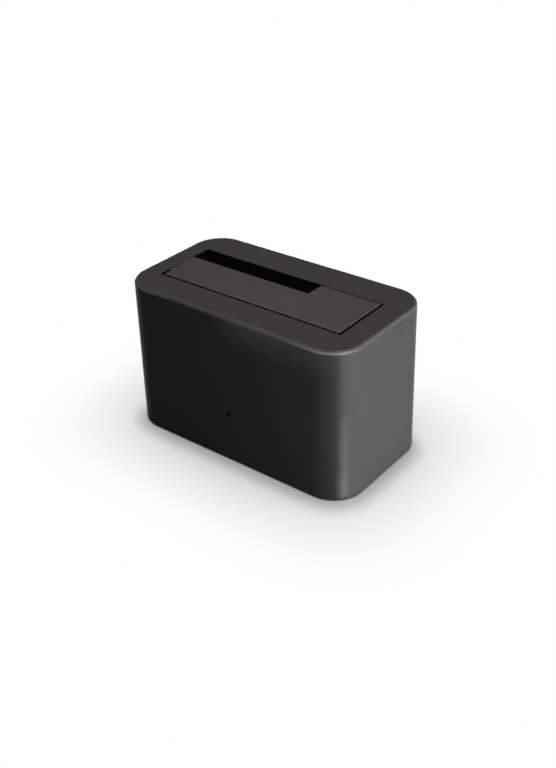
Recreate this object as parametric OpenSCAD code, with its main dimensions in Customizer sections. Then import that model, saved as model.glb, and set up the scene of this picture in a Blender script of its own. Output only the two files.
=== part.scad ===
// Desktop docking station that takes one bare hard drive, large or small, through a sprung flap in its top.
// Millimetres. +X is right, the front faces -Y, +Z is up, and z = 0 is the underside of the feet.

/* [Housing] */
// Width of the housing at its top
body_w = 134.5; // [132:0.5:150]
// Depth of the housing at its top
body_d = 72.7; // [71:0.1:80]
// Height of the housing without its feet
body_h = 80.3; // [78:0.1:95]
// How far the walls lean out from the top to the bottom
draft = 0.8; // [0:0.1:1.2]
// Radius of the upright corners
corner_r = 16.3; // [10:0.1:18]
// Radius along the top edge
edge_r = 1.5; // [0.8:0.1:2.2]
// Thickness of the side walls at the top
wall_t = 2.2; // [1.8:0.1:2.4]
// Thickness of the top
top_t = 2.6; // [2.4:0.1:2.8]
// Diameter of the lamp hole
lamp_d = 2; // [1.6:0.1:3]
// Height of the lamp hole above the housing's bottom rim
lamp_h = 26.3; // [20:0.1:30]

/* [Drive mouth] */
// Rim between the left end of the housing and the mouth
left_rim = 11; // [10:0.1:12]
// Rim between the right end of the housing and the mouth
right_rim = 13.5; // [12:0.1:15]
// Rim between the front face and the mouth
front_rim = 17.3; // [14:0.1:19]
// Depth of the mouth from front to back
mouth_d = 36.1; // [35.6:0.1:38]
// Length of the slot for the small drive
slot_w = 74; // [72:0.1:76]
// Depth of the slot for the small drive
slot_d = 11.3; // [10.5:0.1:12]

/* [Flap] */
// Thickness of the flap's plate
flap_t = 2.2; // [2:0.1:2.4]
// Chamfer along the flap's top edges
flap_chamfer = 0.35; // [0.2:0.05:0.6]
// Gap along the hinged front edge
front_gap = 0.8; // [0.6:0.05:1]
// Gap at the right end
right_gap = 0.7; // [0.4:0.05:0.9]
// Gap at the left end
left_gap = 0.4; // [0.35:0.05:0.7]
// Gap along the free back edge
back_gap = 0.6; // [0.6:0.05:0.9]
// Distance from the mouth's front edge to the hinge axis
hinge_in = 2.2; // [2.1:0.05:2.6]
// Radius of the hinge knuckles
knuckle_r = 2.5; // [2.3:0.05:2.6]
// Radius of the hinge pin
pin_r = 1; // [0.8:0.05:1.1]
// Height of the stiffening ribs under the flap
rib_h = 1.5; // [1:0.1:2]

/* [Bay] */
// Thickness of the bay's walls
bay_t = 2; // [1.6:0.1:2.2]
// Height of the bay's floor above the housing's bottom rim
bay_floor_h = 21.7; // [21.6:0.1:25]
// How far the guide fins reach into the bay
fin_reach = 7.4; // [6:0.1:8]
// Thickness of the guide fins
fin_t = 2; // [1.4:0.1:3]

/* [Base] */
// Thickness of the base plate
base_t = 2.4; // [2.2:0.1:3]
// How far the feet stand out below the housing
foot_proud = 0.8; // [0.6:0.1:2]
// Radius of the feet
foot_r = 5; // [4:0.1:6]

/* [Board] */
// Width of the circuit board
board_w = 96; // [92:1:100]
// Thickness of the circuit board
board_t = 1.6; // [1.2:0.1:2]
// Height of the posts that carry the board
post_h = 4; // [3.5:0.1:4.2]
// Height of the drive connector above the board
sata_h = 18; // [17:0.1:19]

/* [Rear panel] */
// Distance of the power inlet and of the button from the middle
port_pitch = 36; // [20:0.5:37]
// Distance from the button to the data port
usb_pitch = 15; // [11:0.5:40]
// Depth of the data port
usb_l = 14.4; // [12:0.1:14.5]
// Radius of the power button
button_r = 4; // [3.2:0.1:4.2]
// How far the button stands out of the back
button_proud = 1; // [0.6:0.1:1.2]
// Travel of the button
button_travel = 2; // [1:0.1:2]

/* [Hidden] */
$fn = 48;

// Clearances
pin_fit = 0.05;
seat_fit = 0.02;
moving_gap = 0.4;
stop_gap = 0.3;
port_gap = 0.35;
base_fit = 0.25;
drive_play = 0.5;
// Overlap that lets a cut or a joined shape run past a face
over = 1;

// Faces of the housing
z_rim = foot_proud;
z_top = z_rim + body_h;
z_roof = z_top - top_t;
front_y = -body_d / 2;
back_y = body_d / 2;
front_in = front_y + wall_t;
back_in = back_y - wall_t;
in_w = body_w - 2 * wall_t;
in_d = body_d - 2 * wall_t;
in_r = corner_r - wall_t;

// How far the outside of a wall leans out at a height
function lean(z) = draft * (1 - (z - z_rim) / (body_h - edge_r));

// Mouth, slot and the two drives that go through them: both stand at the mouth's left end, and the fins
// fill the rest of the bay beside the large one, which is 101.6 wide
mouth_l = -body_w / 2 + left_rim;
mouth_r = body_w / 2 - right_rim;
mouth_f = front_y + front_rim;
mouth_b = mouth_f + mouth_d;
slot_r = mouth_l + slot_w;
slot_f = mouth_b - slot_d;
drive_t = 26.1;
drive_plug_x = 46.85;
drive_plug_y = 4.1;
drive_l = mouth_l + drive_play;
drive_b = mouth_b - drive_play;
drive_f = drive_b - drive_t;

// Hinge of the flap
knuckle_sink = 0.2;
hinge_y = mouth_f + hinge_in;
hinge_z = z_top - flap_t - knuckle_r + knuckle_sink;
flap_l = mouth_l + left_gap;
flap_r = mouth_r - right_gap;
flap_f = mouth_f + front_gap;
flap_b = mouth_b - back_gap;
flap_under = z_top - flap_t;
open_z = hinge_z - (flap_b - hinge_y);
knuckle_w = 6;
knuckle_inset = 1.2;
relief_d = 5;
spring_room = 7.4;
heel_back = 0.4;
heel_t = 1.1;
heel_h = 4.3;
heel_w = 2;
heel_swing = norm([heel_back + heel_t, heel_h]);
lug_w = 4;
lug_d = 2;
lug_h = 1.6;
lug_clear = 0.6;
lug_drop = knuckle_r + lug_clear;
lug_f = hinge_y - heel_back + stop_gap;

// Bay: an upper part that the flap swings down into, and a well that holds the drive
bay_f = hinge_y - heel_swing - moving_gap;
well_f = drive_f - drive_play;
z_floor = z_rim + bay_floor_h;
slope_gap = 3.1;
slope_fall = 5;
slope_top = open_z - slope_gap;
slope_bottom = slope_top - slope_fall;
slope_drop = 1;
fin_lead = 6;
fin_in = 2;
fin_gap = 1.6;
fin_top = open_z - fin_gap;
fin_x = mouth_r - fin_reach;

// Screws that hold the bay under the top
tab_t = 2;
tab_w = 7;
tab_x = 42;
tab_gap = 0.3;
tab_boss_l = 9;
tab_boss_d = 4.6;
tab_z = z_roof - tab_boss_l - tab_t;
bay_out_f = bay_f - bay_t;
bay_out_b = mouth_b + bay_t;
tab_front_y = front_in + tab_boss_d / 2;
tab_back_y = bay_out_b + tab_gap + tab_boss_d / 2;
tab_ys = [tab_front_y, tab_back_y];
bay_screw_r = 1;
bay_screw_head_r = 2;
bay_screw_head_h = 1.5;
bay_screw_l = 8;
bay_hole_r = 1.3;

// Corner bosses and base screws
boss_r = 3.5;
boss_bite = 0.6;
boss_h = 30;
boss_off = (in_r - boss_r + boss_bite) * cos(45);
boss_x = in_w / 2 - in_r + boss_off;
boss_y = in_d / 2 - in_r + boss_off;
z_base = z_rim + base_t;
base_screw_r = 1.3;
base_screw_l = 9;
base_screw_head_r = 2.3;
base_screw_head_h = 1.2;
base_hole_r = 1.6;
counterbore_r = 2.6;
counterbore_h = 1.4;
cross_share = 0.6;
cross_w = 0.5;
foot_in_x = 14;
foot_in_y = 9;
foot_x = in_w / 2 - foot_in_x;
foot_y = in_d / 2 - foot_in_y;
foot_recess = 0.8;
foot_chamfer = 0.4;

// Board and its screws
board_edge_gap = 0.7;
board_b = back_in - board_edge_gap;
board_front_gap = 5.5;
board_f = front_in + board_front_gap;
board_z = z_base + post_h;
board_top = board_z + board_t;
board_hole_in = 4;
board_hole_r = 1.6;
board_screw_r = 1.1;
board_screw_l = 5;
board_screw_head_r = 2.4;
board_screw_head_h = 1.4;
post_r = 2.8;
post_xs = [-board_w / 2 + board_hole_in, board_w / 2 - board_hole_in];
post_ys = [board_f + board_hole_in, board_b - board_hole_in];

// Drive connector
sata_x = drive_l + drive_plug_x;
sata_y = drive_b - drive_plug_y;
sata_w = 42.7;
sata_d = 6;
sata_post_w = 2.5;
sata_core_w = 36.6;
sata_slot_depth = 5.4;
sata_slot_w = 2.3;
sata_key = 1.3;
sata_pitch = 1.27;
sata_power_n = 15;
sata_signal_n = 7;
sata_gap_n = 3;
sata_span = (sata_power_n + sata_signal_n + sata_gap_n) * sata_pitch;
sata_power_x = sata_x - sata_span / 2 + (sata_power_n - 1) * sata_pitch / 2;
sata_signal_x = sata_x + sata_span / 2 - (sata_signal_n - 1) * sata_pitch / 2;
sata_power_w = 20.6;
sata_signal_w = 10.4;
sata_top = board_top + sata_h;
sata_step = 1;
sata_base_h = sata_h - sata_slot_depth - sata_step;
contact_w = 0.8;
contact_t = 0.35;
contact_drop = 0.8;
sata_contact_xs = concat(
    [for (i = [0 : sata_power_n - 1]) sata_x - sata_span / 2 + i * sata_pitch],
    [for (i = [0 : sata_signal_n - 1]) sata_x + sata_span / 2 - i * sata_pitch]
);

// Data port
usb_x = port_pitch - usb_pitch;
usb_wall = 0.4;
usb_main_w = 8.5;
usb_main_h = 7.8;
usb_corner = 1.6;
usb_upper_w = 5.7;
usb_upper_h = 2.7;
port_recess = 0.4;
usb_face = back_y + lean(board_top + usb_main_h / 2) - port_recess;
usb_back = usb_face - usb_l;
usb_z = board_top + usb_wall;
usb_stub = 3;
usb_tongue_l = 8.8;
usb_tongue_w = 5.6;
usb_tongue_h = 3.1;
usb_upper_tongue_w = 4.4;
usb_upper_tongue_h = 0.9;
usb_tongue_z = usb_z + (usb_main_h - usb_tongue_h) / 2;
usb_upper_z = usb_z + usb_main_h + (usb_upper_h - usb_upper_tongue_h) / 2;
usb_upper_tongue_short = 1;
usb_contact_short = 2;
usb_contact_w = 0.5;
usb_contact_t = 0.18;
usb_contact_pitch = 1.2;
usb_upper_pitch = 0.9;
usb_contact_xs = [for (i = [0 : 3]) usb_contact_pitch * (i - 1.5)];
usb_upper_contact_xs = [for (i = [-2 : 2]) usb_upper_pitch * i];

// Power inlet
jack_x = -port_pitch;
jack_w = 9;
jack_h = 10.8;
jack_l = 12;
jack_z = board_top + jack_h / 2;
jack_collar_r = 4.1;
jack_bore_r = 3.2;
jack_bore_l = 9.5;
jack_pin_r = 1;
jack_pin_l = 7;
jack_root_r = 1.4;
jack_root_l = 2;
jack_leaf_w = 1.6;
jack_leaf_t = 0.4;
jack_leaf_l = 6;
jack_face = back_y + lean(jack_z) - port_recess;
jack_floor = jack_face - jack_bore_l;
jack_body_back = back_in - moving_gap;

// Switch and its button
button_x = port_pitch;
switch_w = 8.4;
switch_l = 8;
switch_h = 8.4;
flange_w = 1.2;
flange_r = button_r + flange_w;
button_z = board_top + flange_r + moving_gap;
button_face = back_y + lean(button_z) + button_proud;
flange_t = 1.2;
flange_back = back_in - moving_gap;
flange_front = flange_back - flange_t;
switch_face = flange_front - button_travel - moving_gap;
switch_back = switch_face - switch_l;
plunger_r = 1.7;
plunger_bore_r = plunger_r + moving_gap;
plunger_in = 2.6;
plunger_end = switch_face - plunger_in;
plunger_seat_l = 1;
plunger_seat = flange_back + plunger_seat_l;
button_dish_r = 14;
button_dish_d = 0.35;
button_chamfer = 0.4;
plunger_bore_l = 6.2;
bore_floor = switch_face - plunger_bore_l;

// Lamp, its light pipe and the lamp hole
lamp_z = z_rim + lamp_h;
lamp_r = lamp_d / 2;
pipe_r = lamp_r - pin_fit;
pipe_recess = 1.4;
pipe_collar_w = 0.9;
pipe_collar_r = lamp_r + pipe_collar_w;
pipe_collar_t = 1.2;
status_w = 3.2;
status_d = 1.8;
status_h = 1.2;
status_in = 2.4;
status_y = board_f + status_in;
pipe_gap = 0.3;

// Coil springs
wire_r = 0.3;
coil_r = pin_r + moving_gap + wire_r;
coil_turns = 4;
coil_pitch = 1.15;
coil_sides = 6;
coil_rings = 8;
flap_leg_l = 9;
leg_bend = 1.2;
leg_gap = 0.3;
frame_leg_turn = 30;
switch_wire_r = 0.2;
switch_coil_r = 1.2;
switch_coil_turns = 3.5;
switch_coil_l = plunger_end - bore_floor - 2 * switch_wire_r;

// Components on the board: a row behind its front edge, and a row in front of the ports
chip_in = 7;
chip_row = board_f + chip_in;
lead_w = 0.35;
lead_l = 1;
lead_t = 0.2;
lead_edge = 0.8;
chip_lift = 0.1;
bridge_x = 14;
bridge_w = 9;
bridge_h = 1.4;
bridge_leads = 10;
flash_x = -12;
flash_w = 5;
flash_d = 4;
flash_h = 1.5;
flash_leads = 4;
regulator_xs = [-24, -34];
regulator_w = 6.4;
regulator_d = 3.6;
regulator_h = 1.7;
regulator_leads = 3;
crystal_x = 30;
crystal_w = 6.2;
crystal_d = 4.4;
crystal_h = 3.5;
choke_in = 7.5;
choke_xs = [-3, 7];
choke_y = board_b - choke_in;
choke_r = 3;
choke_core_r = 2.4;
choke_h = 3.2;
choke_flange_t = 0.9;
can_in = 7.5;
can_xs = [-23, -13];
can_y = board_b - can_in;
can_r = 3.1;
can_h = 6.6;
can_base_w = 6.6;
can_base_t = 0.8;
ceramic_xs = [-20, -17, 5, 22, 24];
ceramic_in = 5;
ceramic_ys = [chip_row - ceramic_in, chip_row + ceramic_in];
ceramic_w = 1.2;
ceramic_d = 2;
ceramic_h = 0.8;

// Colours
satin_black = "#2b2a2b";
flap_grey = "#3a3738";
well_black = "#161516";
steel = "#b9bbbe";
gold = "#c9a24a";
board_green = "#1f5a3c";
chip_black = "#1a1a1c";
rubber_black = "#101010";
ferrite_grey = "#3d3d40";
can_grey = "#8d9095";
ceramic_tan = "#b59a72";
pipe_grey = "#5a5c60";

// Box between two opposite corners
module block(low, high) translate(low) cube(high - low);

// Profile drawn in (y, z), run along X
module along_x(x0, x1) translate([x0, 0, 0]) rotate([90, 0, 90]) linear_extrude(x1 - x0) children();

// Profile drawn in (x, z), run along Y
module along_y(y0, y1) translate([0, y1, 0]) rotate([90, 0, 0]) linear_extrude(y1 - y0) children();

module rod_x(x0, x1, y, z, r) translate([x0, y, z]) rotate([0, 90, 0]) cylinder(r = r, h = x1 - x0);

module rod_y(y0, y1, x, z, r) translate([x, y0, z]) rotate([-90, 0, 0]) cylinder(r = r, h = y1 - y0);

module rod_z(z0, z1, x, y, r) translate([x, y, z0]) cylinder(r = r, h = z1 - z0);

// Screw with its shank along +Z and the top of its head, cut with a cross, at z = 0
module screw(shank_r, shank_l, head_r, head_h) {
    arm = head_r * cross_share;
    difference() {
        union() {
            cylinder(r = head_r, h = head_h);
            translate([0, 0, head_h]) cylinder(r = shank_r, h = shank_l);
        }
        for (a = [0, 90])
            rotate(a) block([-arm, -cross_w / 2, -over], [arm, cross_w / 2, head_h * cross_share]);
    }
}

// Tube through a list of points, closed at both ends; its path never runs along side
module tube(path, r, side) {
    n = len(path);
    last = n - 1;
    along = [for (i = [0 : last]) path[min(i + 1, last)] - path[max(i - 1, 0)]];
    across = [for (t = along) cross(t, side) / norm(cross(t, side))];
    lift = [for (i = [0 : last]) cross(along[i], across[i]) / norm(cross(along[i], across[i]))];
    rings = [for (i = [0 : last], k = [0 : coil_sides - 1])
        path[i] + r * (cos(360 * k / coil_sides) * across[i] + sin(360 * k / coil_sides) * lift[i])];
    sides = [for (i = [0 : last - 1], k = [0 : coil_sides - 1])
        let (a = i * coil_sides + k, b = i * coil_sides + (k + 1) % coil_sides)
        each [[a, a + coil_sides, b], [b, a + coil_sides, b + coil_sides]]];
    ends = [for (k = [1 : coil_sides - 2])
        each [[0, k, k + 1], [last * coil_sides, last * coil_sides + k + 1, last * coil_sides + k]]];
    polyhedron(rings, concat(sides, ends));
}

// Least gap between turns of a tube, over points at least half a turn apart
function least_gap(path, r) = min([
    for (i = [0 : len(path) - 1], j = [i + coil_rings / 2 : 1 : len(path) - 1]) norm(path[i] - path[j])
]) - 2 * r;

// Section of the housing's wall from an upright corner's axis outwards
module wall_section() {
    difference() {
        union() {
            polygon([[0, 0], [corner_r + draft, 0], [corner_r, body_h - edge_r], [0, body_h - edge_r]]);
            square([corner_r - edge_r, body_h]);
            translate([corner_r - edge_r, body_h - edge_r]) circle(edge_r);
        }
        translate([-over, -over]) square([in_r + over, body_h - top_t + over]);
    }
}

module wall_run(length)
    translate([0, length / 2, 0]) rotate([90, 0, 0]) linear_extrude(length) wall_section();

module housing_shell() {
    run_x = body_w - 2 * corner_r;
    run_y = body_d - 2 * corner_r;
    for (mx = [0, 1], my = [0, 1])
        mirror([mx, 0, 0]) mirror([0, my, 0])
            translate([run_x / 2, run_y / 2, 0]) rotate_extrude(angle = 90) wall_section();
    for (m = [0, 1]) {
        mirror([m, 0, 0]) translate([run_x / 2, 0, 0]) wall_run(run_y);
        mirror([0, m, 0]) translate([0, run_y / 2, 0]) rotate(90) wall_run(run_x);
    }
    block([-run_x / 2, -run_y / 2, body_h - top_t], [run_x / 2, run_y / 2, body_h]);
}

// Boss under the top that a bay screw goes into
module tab_boss(y) {
    half = tab_boss_d / 2;
    into_wall = y < 0 ? over : 0;
    for (x = [-tab_x, tab_x])
        block([x - half, y - half - into_wall, z_roof - tab_boss_l], [x + half, y + half, z_roof + over]);
}

module upper_housing() color(satin_black) {
    out_y = back_y + draft + over;
    difference() {
        union() {
            translate([0, 0, z_rim]) housing_shell();
            for (x = [-boss_x, boss_x], y = [-boss_y, boss_y]) rod_z(z_base, z_base + boss_h, x, y, boss_r);
            for (y = tab_ys) tab_boss(y);
        }
        block([mouth_l, mouth_f, z_roof - over], [mouth_r, mouth_b, z_top + over]);
        rod_y(front_y - draft - over, front_in + over, 0, lamp_z, lamp_r);
        along_y(back_in - over, out_y) usb_outline(usb_wall + port_gap);
        rod_y(back_in - over, out_y, jack_x, jack_z, jack_collar_r + port_gap);
        rod_y(back_in - over, out_y, button_x, button_z, button_r + moving_gap);
        for (x = [-boss_x, boss_x], y = [-boss_y, boss_y])
            rod_z(z_base - over, z_base + base_screw_l, x, y, base_screw_r + seat_fit);
        for (x = [-tab_x, tab_x], y = tab_ys)
            rod_z(z_roof - tab_boss_l - over, z_roof - over, x, y, bay_screw_r + seat_fit);
    }
}

// Outline of a plate with chamfered top edges, in (length, height)
module chamfered(a, b, z0, z1, c)
    polygon([[a, z0], [b, z0], [b, z1 - c], [b - c, z1], [a + c, z1], [a, z1 - c]]);

// The flap's plate, with the small drive's slot and the relief beside the hinge
module flap_plate() {
    c = flap_chamfer;
    difference() {
        intersection() {
            along_x(flap_l - over, flap_r + over) chamfered(flap_f, flap_b, flap_under, z_top, c);
            along_y(flap_f - over, flap_b + over) chamfered(flap_l, flap_r, flap_under, z_top, c);
        }
        block([flap_l - over, slot_f, flap_under - over], [slot_r, flap_b + over, z_top + over]);
        along_x(flap_l - over, slot_r)
            polygon([[slot_f, z_top - c], [slot_f - c, z_top], [slot_f, z_top + over]]);
        along_y(slot_f, flap_b + over)
            polygon([[slot_r, z_top - c], [slot_r + c, z_top], [slot_r, z_top + over]]);
        block([flap_l - over, flap_f - over, flap_under - over],
            [flap_l + knuckle_inset, flap_f + relief_d, z_top + over]);
    }
}

// Left ends of the flap's four knuckles
function knuckle_xs() = let (first = flap_l + knuckle_inset, last = flap_r - knuckle_inset - knuckle_w)
    [first, first + knuckle_w + spring_room, last - knuckle_w - spring_room, last];

module flap_knuckles() {
    for (x = knuckle_xs()) {
        rod_x(x, x + knuckle_w, hinge_y, hinge_z, knuckle_r);
        block([x, flap_f, hinge_z], [x + knuckle_w, hinge_y + knuckle_r, flap_under + knuckle_sink]);
    }
    heel_face = hinge_y - heel_back;
    for (x = [flap_l + knuckle_inset, flap_r - knuckle_inset - heel_w])
        block([x, heel_face - heel_t, hinge_z - heel_h], [x + heel_w, heel_face, hinge_z]);
}

module flap_ribs() {
    rib_t = 1.2;
    rib_start = 6;
    inset = 1;
    rib_f = hinge_y + rib_start;
    low = flap_under - rib_h;
    high = flap_under + knuckle_sink;
    block([flap_l + inset, rib_f, low], [flap_l + inset + rib_t, slot_f - inset, high]);
    block([flap_r - inset - rib_t, rib_f, low], [flap_r - inset, flap_b - inset, high]);
    block([flap_l + inset, slot_f - inset - rib_t, low], [slot_r + inset + rib_t, slot_f - inset, high]);
    block([slot_r + inset, slot_f - inset - rib_t, low], [slot_r + inset + rib_t, flap_b - inset, high]);
    block([slot_r + inset, flap_b - inset - rib_t, low], [flap_r - inset, flap_b - inset, high]);
}

module flap() color(flap_grey) difference() {
    union() {
        flap_plate();
        flap_knuckles();
        flap_ribs();
    }
    rod_x(flap_l - over, flap_r + over, hinge_y, hinge_z, pin_r + pin_fit);
}

module hinge_pin() color(steel) rod_x(mouth_l - bay_t, mouth_r + bay_t, hinge_y, hinge_z, pin_r);

// Path of one flap spring: the leg under the flap, the coil round the pin, the leg against the bay's wall
function flap_spring_path() = let (
    first = knuckle_xs()[0] + knuckle_w + (spring_room - coil_turns * coil_pitch) / 2,
    steps = coil_turns * coil_rings,
    turn = 360 * coil_turns + frame_leg_turn,
    out = [0, -sin(90 + frame_leg_turn), cos(90 + frame_leg_turn)],
    coil = [for (i = [0 : steps]) let (a = 90 + turn * i / steps)
        [first + coil_turns * coil_pitch * i / steps, hinge_y + coil_r * cos(a), hinge_z + coil_r * sin(a)]],
    reach = (coil[steps][1] - bay_f - wire_r - leg_gap) / -out[1]
) concat([coil[0] + [0, flap_leg_l, 0], coil[0] + [0, leg_bend, 0]], coil, [coil[steps] + reach * out]);

module flap_springs() color(steel) {
    path = flap_spring_path();
    echo(least_gap_of_flap_spring = least_gap(path, wire_r));
    tube(path, wire_r, [1, 0, 0]);
    translate([flap_l + flap_r, 0, 0]) mirror([1, 0, 0]) tube(path, wire_r, [1, 0, 0]);
}

// Inner faces of the bay, front to back, in (y, z)
function bay_inside() = [
    [bay_f, z_roof], [bay_f, slope_top], [well_f, slope_bottom], [well_f, z_floor], [mouth_b, z_floor],
    [mouth_b, z_roof]
];

// Outer faces of the bay, back to front, in (y, z)
function bay_outside() = [
    [bay_out_b, z_roof], [bay_out_b, z_floor - bay_t], [well_f - bay_t, z_floor - bay_t],
    [well_f - bay_t, slope_bottom - slope_drop], [bay_out_f, slope_top - slope_drop], [bay_out_f, z_roof]
];

module bay_tabs() {
    half = tab_w / 2;
    high = tab_z + tab_t;
    for (x = [-tab_x, tab_x]) {
        block([x - half, front_in + tab_gap, tab_z], [x + half, bay_out_f + bay_t / 2, high]);
        block([x - half, bay_out_b - bay_t / 2, tab_z], [x + half, tab_back_y + tab_boss_d / 2, high]);
    }
}

// Fins that guide the large drive's right side, with a sloping lead-in
module bay_fins() {
    low = z_floor - bay_t / 2;
    root_x = mouth_r + bay_t / 2;
    for (y = [well_f + fin_in, (well_f + mouth_b) / 2, mouth_b - fin_in])
        along_y(y - fin_t / 2, y + fin_t / 2)
            polygon([
                [root_x, low], [fin_x, low], [fin_x, fin_top - fin_lead],
                [mouth_r, fin_top], [root_x, fin_top]
            ]);
}

// Stops for the flap: its heels meet them when it is shut, and its plate when it is open
module bay_lugs() {
    reach = lug_w + bay_t / 2;
    for (x = [mouth_l - bay_t / 2, mouth_r - lug_w])
        block([x, lug_f, hinge_z - lug_drop - lug_h], [x + reach, lug_f + lug_d, hinge_z - lug_drop]);
}

module bay_frame() color(well_black) difference() {
    union() {
        along_x(mouth_l - bay_t, mouth_r + bay_t) polygon(concat(bay_inside(), bay_outside()));
        for (x = [mouth_l - bay_t, mouth_r]) along_x(x, x + bay_t) polygon(bay_outside());
        bay_tabs();
        bay_fins();
        bay_lugs();
    }
    rod_x(mouth_l - bay_t - over, mouth_r + bay_t + over, hinge_y, hinge_z, pin_r + seat_fit);
    block([sata_x - sata_w / 2 - port_gap, sata_y - sata_d / 2 - port_gap, z_floor - bay_t - over],
        [sata_x + sata_w / 2 + port_gap, sata_y + sata_d / 2 + port_gap, z_floor + over]);
    for (x = [-tab_x, tab_x], y = tab_ys) rod_z(tab_z - over, tab_z + tab_t + over, x, y, bay_hole_r);
}

module bay_screws() color(steel) for (x = [-tab_x, tab_x], y = tab_ys)
    translate([x, y, tab_z - bay_screw_head_h])
        screw(bay_screw_r, bay_screw_l, bay_screw_head_r, bay_screw_head_h);

module rounded_rectangle(w, d, r) {
    square([w - 2 * r, d], center = true);
    square([w, d - 2 * r], center = true);
    for (x = [-w / 2 + r, w / 2 - r], y = [-d / 2 + r, d / 2 - r]) translate([x, y]) circle(r);
}

module base_plate() color(satin_black) difference() {
    union() {
        translate([0, 0, z_rim]) linear_extrude(base_t)
            rounded_rectangle(in_w - 2 * base_fit, in_d - 2 * base_fit, in_r - base_fit);
        for (x = post_xs, y = post_ys) rod_z(z_base - base_t / 2, board_z, x, y, post_r);
    }
    for (x = post_xs, y = post_ys)
        rod_z(board_top - board_screw_l, board_z + over, x, y, board_screw_r + seat_fit);
    for (x = [-boss_x, boss_x], y = [-boss_y, boss_y]) {
        rod_z(z_rim - over, z_base + over, x, y, base_hole_r);
        rod_z(z_rim - over, z_rim + counterbore_h, x, y, counterbore_r);
    }
    for (x = [-foot_x, foot_x], y = [-foot_y, foot_y])
        rod_z(z_rim - over, z_rim + foot_recess, x, y, foot_r + seat_fit);
}

module base_screws() color(steel) for (x = [-boss_x, boss_x], y = [-boss_y, boss_y])
    translate([x, y, z_rim + counterbore_h - base_screw_head_h])
        screw(base_screw_r, base_screw_l, base_screw_head_r, base_screw_head_h);

module rubber_feet() color(rubber_black) for (x = [-foot_x, foot_x], y = [-foot_y, foot_y])
    translate([x, y, 0]) {
        cylinder(r1 = foot_r - foot_chamfer, r2 = foot_r, h = foot_chamfer);
        translate([0, 0, foot_chamfer]) cylinder(r = foot_r, h = foot_proud + foot_recess - foot_chamfer);
    }

module main_board() color(board_green) difference() {
    block([-board_w / 2, board_f, board_z], [board_w / 2, board_b, board_top]);
    for (x = post_xs, y = post_ys) rod_z(board_z - over, board_top + over, x, y, board_hole_r);
}

module board_screws() color(steel) for (x = post_xs, y = post_ys)
    translate([x, y, board_top + board_screw_head_h]) mirror([0, 0, 1])
        screw(board_screw_r, board_screw_l, board_screw_head_r, board_screw_head_h);

// Slot in the drive connector, with its key at one end
module sata_slot(x, w) {
    z0 = sata_top - sata_slot_depth;
    block([x - w / 2, sata_y - sata_slot_w / 2, z0], [x + w / 2, sata_y + sata_slot_w / 2, sata_top + over]);
    block([x + w / 2 - sata_key, sata_y - sata_slot_w / 2, z0],
        [x + w / 2, sata_y + sata_slot_w / 2 + sata_key / 2, sata_top + over]);
}

module sata_connector() color(chip_black) difference() {
    union() {
        block([sata_x - sata_w / 2, sata_y - sata_d / 2, board_top],
            [sata_x + sata_w / 2, sata_y + sata_d / 2, board_top + sata_base_h]);
        block([sata_x - sata_core_w / 2, sata_y - sata_d / 2, board_top],
            [sata_x + sata_core_w / 2, sata_y + sata_d / 2, sata_top]);
        for (m = [-1, 1]) translate([sata_x + m * (sata_w - sata_post_w) / 2, 0, 0])
            block([-sata_post_w / 2, sata_y - sata_d / 2, board_top], [sata_post_w / 2, sata_y, sata_top]);
    }
    sata_slot(sata_power_x, sata_power_w);
    sata_slot(sata_signal_x, sata_signal_w);
}

module sata_contacts() color(gold) for (x = sata_contact_xs)
    block([x - contact_w / 2, sata_y - sata_slot_w / 2, sata_top - sata_slot_depth],
        [x + contact_w / 2, sata_y - sata_slot_w / 2 + contact_t, sata_top - contact_drop]);

// Outline of the data port's opening, grown by a wall, in (x, z)
module usb_outline(grow) translate([usb_x, usb_z]) {
    half = usb_main_w / 2 + grow;
    high = usb_main_h + grow;
    cut = usb_corner + grow * (sqrt(2) - 1);
    upper = usb_upper_w / 2 + grow;
    chamfered(-half, half, -grow, high, cut);
    translate([-upper, 0]) square([2 * upper, usb_main_h + usb_upper_h + grow]);
}

module usb_shell() color(steel) difference() {
    along_y(usb_back, usb_face) usb_outline(usb_wall);
    along_y(usb_back + usb_wall, usb_face + over) usb_outline(0);
}

module usb_tongue() color(chip_black) {
    y0 = usb_back + usb_wall;
    y1 = y0 + usb_stub;
    along_y(y0, y1) usb_outline(-seat_fit);
    block([usb_x - usb_tongue_w / 2, y1 - over, usb_tongue_z],
        [usb_x + usb_tongue_w / 2, y1 + usb_tongue_l, usb_tongue_z + usb_tongue_h]);
    y2 = y1 + usb_tongue_l - usb_upper_tongue_short;
    block([usb_x - usb_upper_tongue_w / 2, y1 - over, usb_upper_z],
        [usb_x + usb_upper_tongue_w / 2, y2, usb_upper_z + usb_upper_tongue_h]);
}

// Contact strip that lies on a tongue of the data port
module usb_strip(x, z) {
    y1 = usb_back + usb_wall + usb_stub;
    block([usb_x + x - usb_contact_w / 2, y1, z],
        [usb_x + x + usb_contact_w / 2, y1 + usb_tongue_l - usb_contact_short, z + usb_contact_t]);
}

module usb_contacts() color(gold) {
    for (x = usb_contact_xs) usb_strip(x, usb_tongue_z + usb_tongue_h);
    for (x = usb_upper_contact_xs) usb_strip(x, usb_upper_z + usb_upper_tongue_h);
}

module jack_body() color(chip_black) difference() {
    union() {
        block([jack_x - jack_w / 2, jack_body_back - jack_l, board_top],
            [jack_x + jack_w / 2, jack_body_back, board_top + jack_h]);
        rod_y(jack_body_back - over, jack_face, jack_x, jack_z, jack_collar_r);
    }
    rod_y(jack_floor, jack_face + over, jack_x, jack_z, jack_bore_r);
    rod_y(jack_floor - jack_root_l, jack_floor + over, jack_x, jack_z, jack_root_r + seat_fit);
    block([jack_x - jack_leaf_w / 2 - seat_fit, jack_floor, jack_z - jack_bore_r - jack_leaf_t],
        [jack_x + jack_leaf_w / 2 + seat_fit, jack_floor + jack_leaf_l + seat_fit, jack_z]);
}

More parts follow.
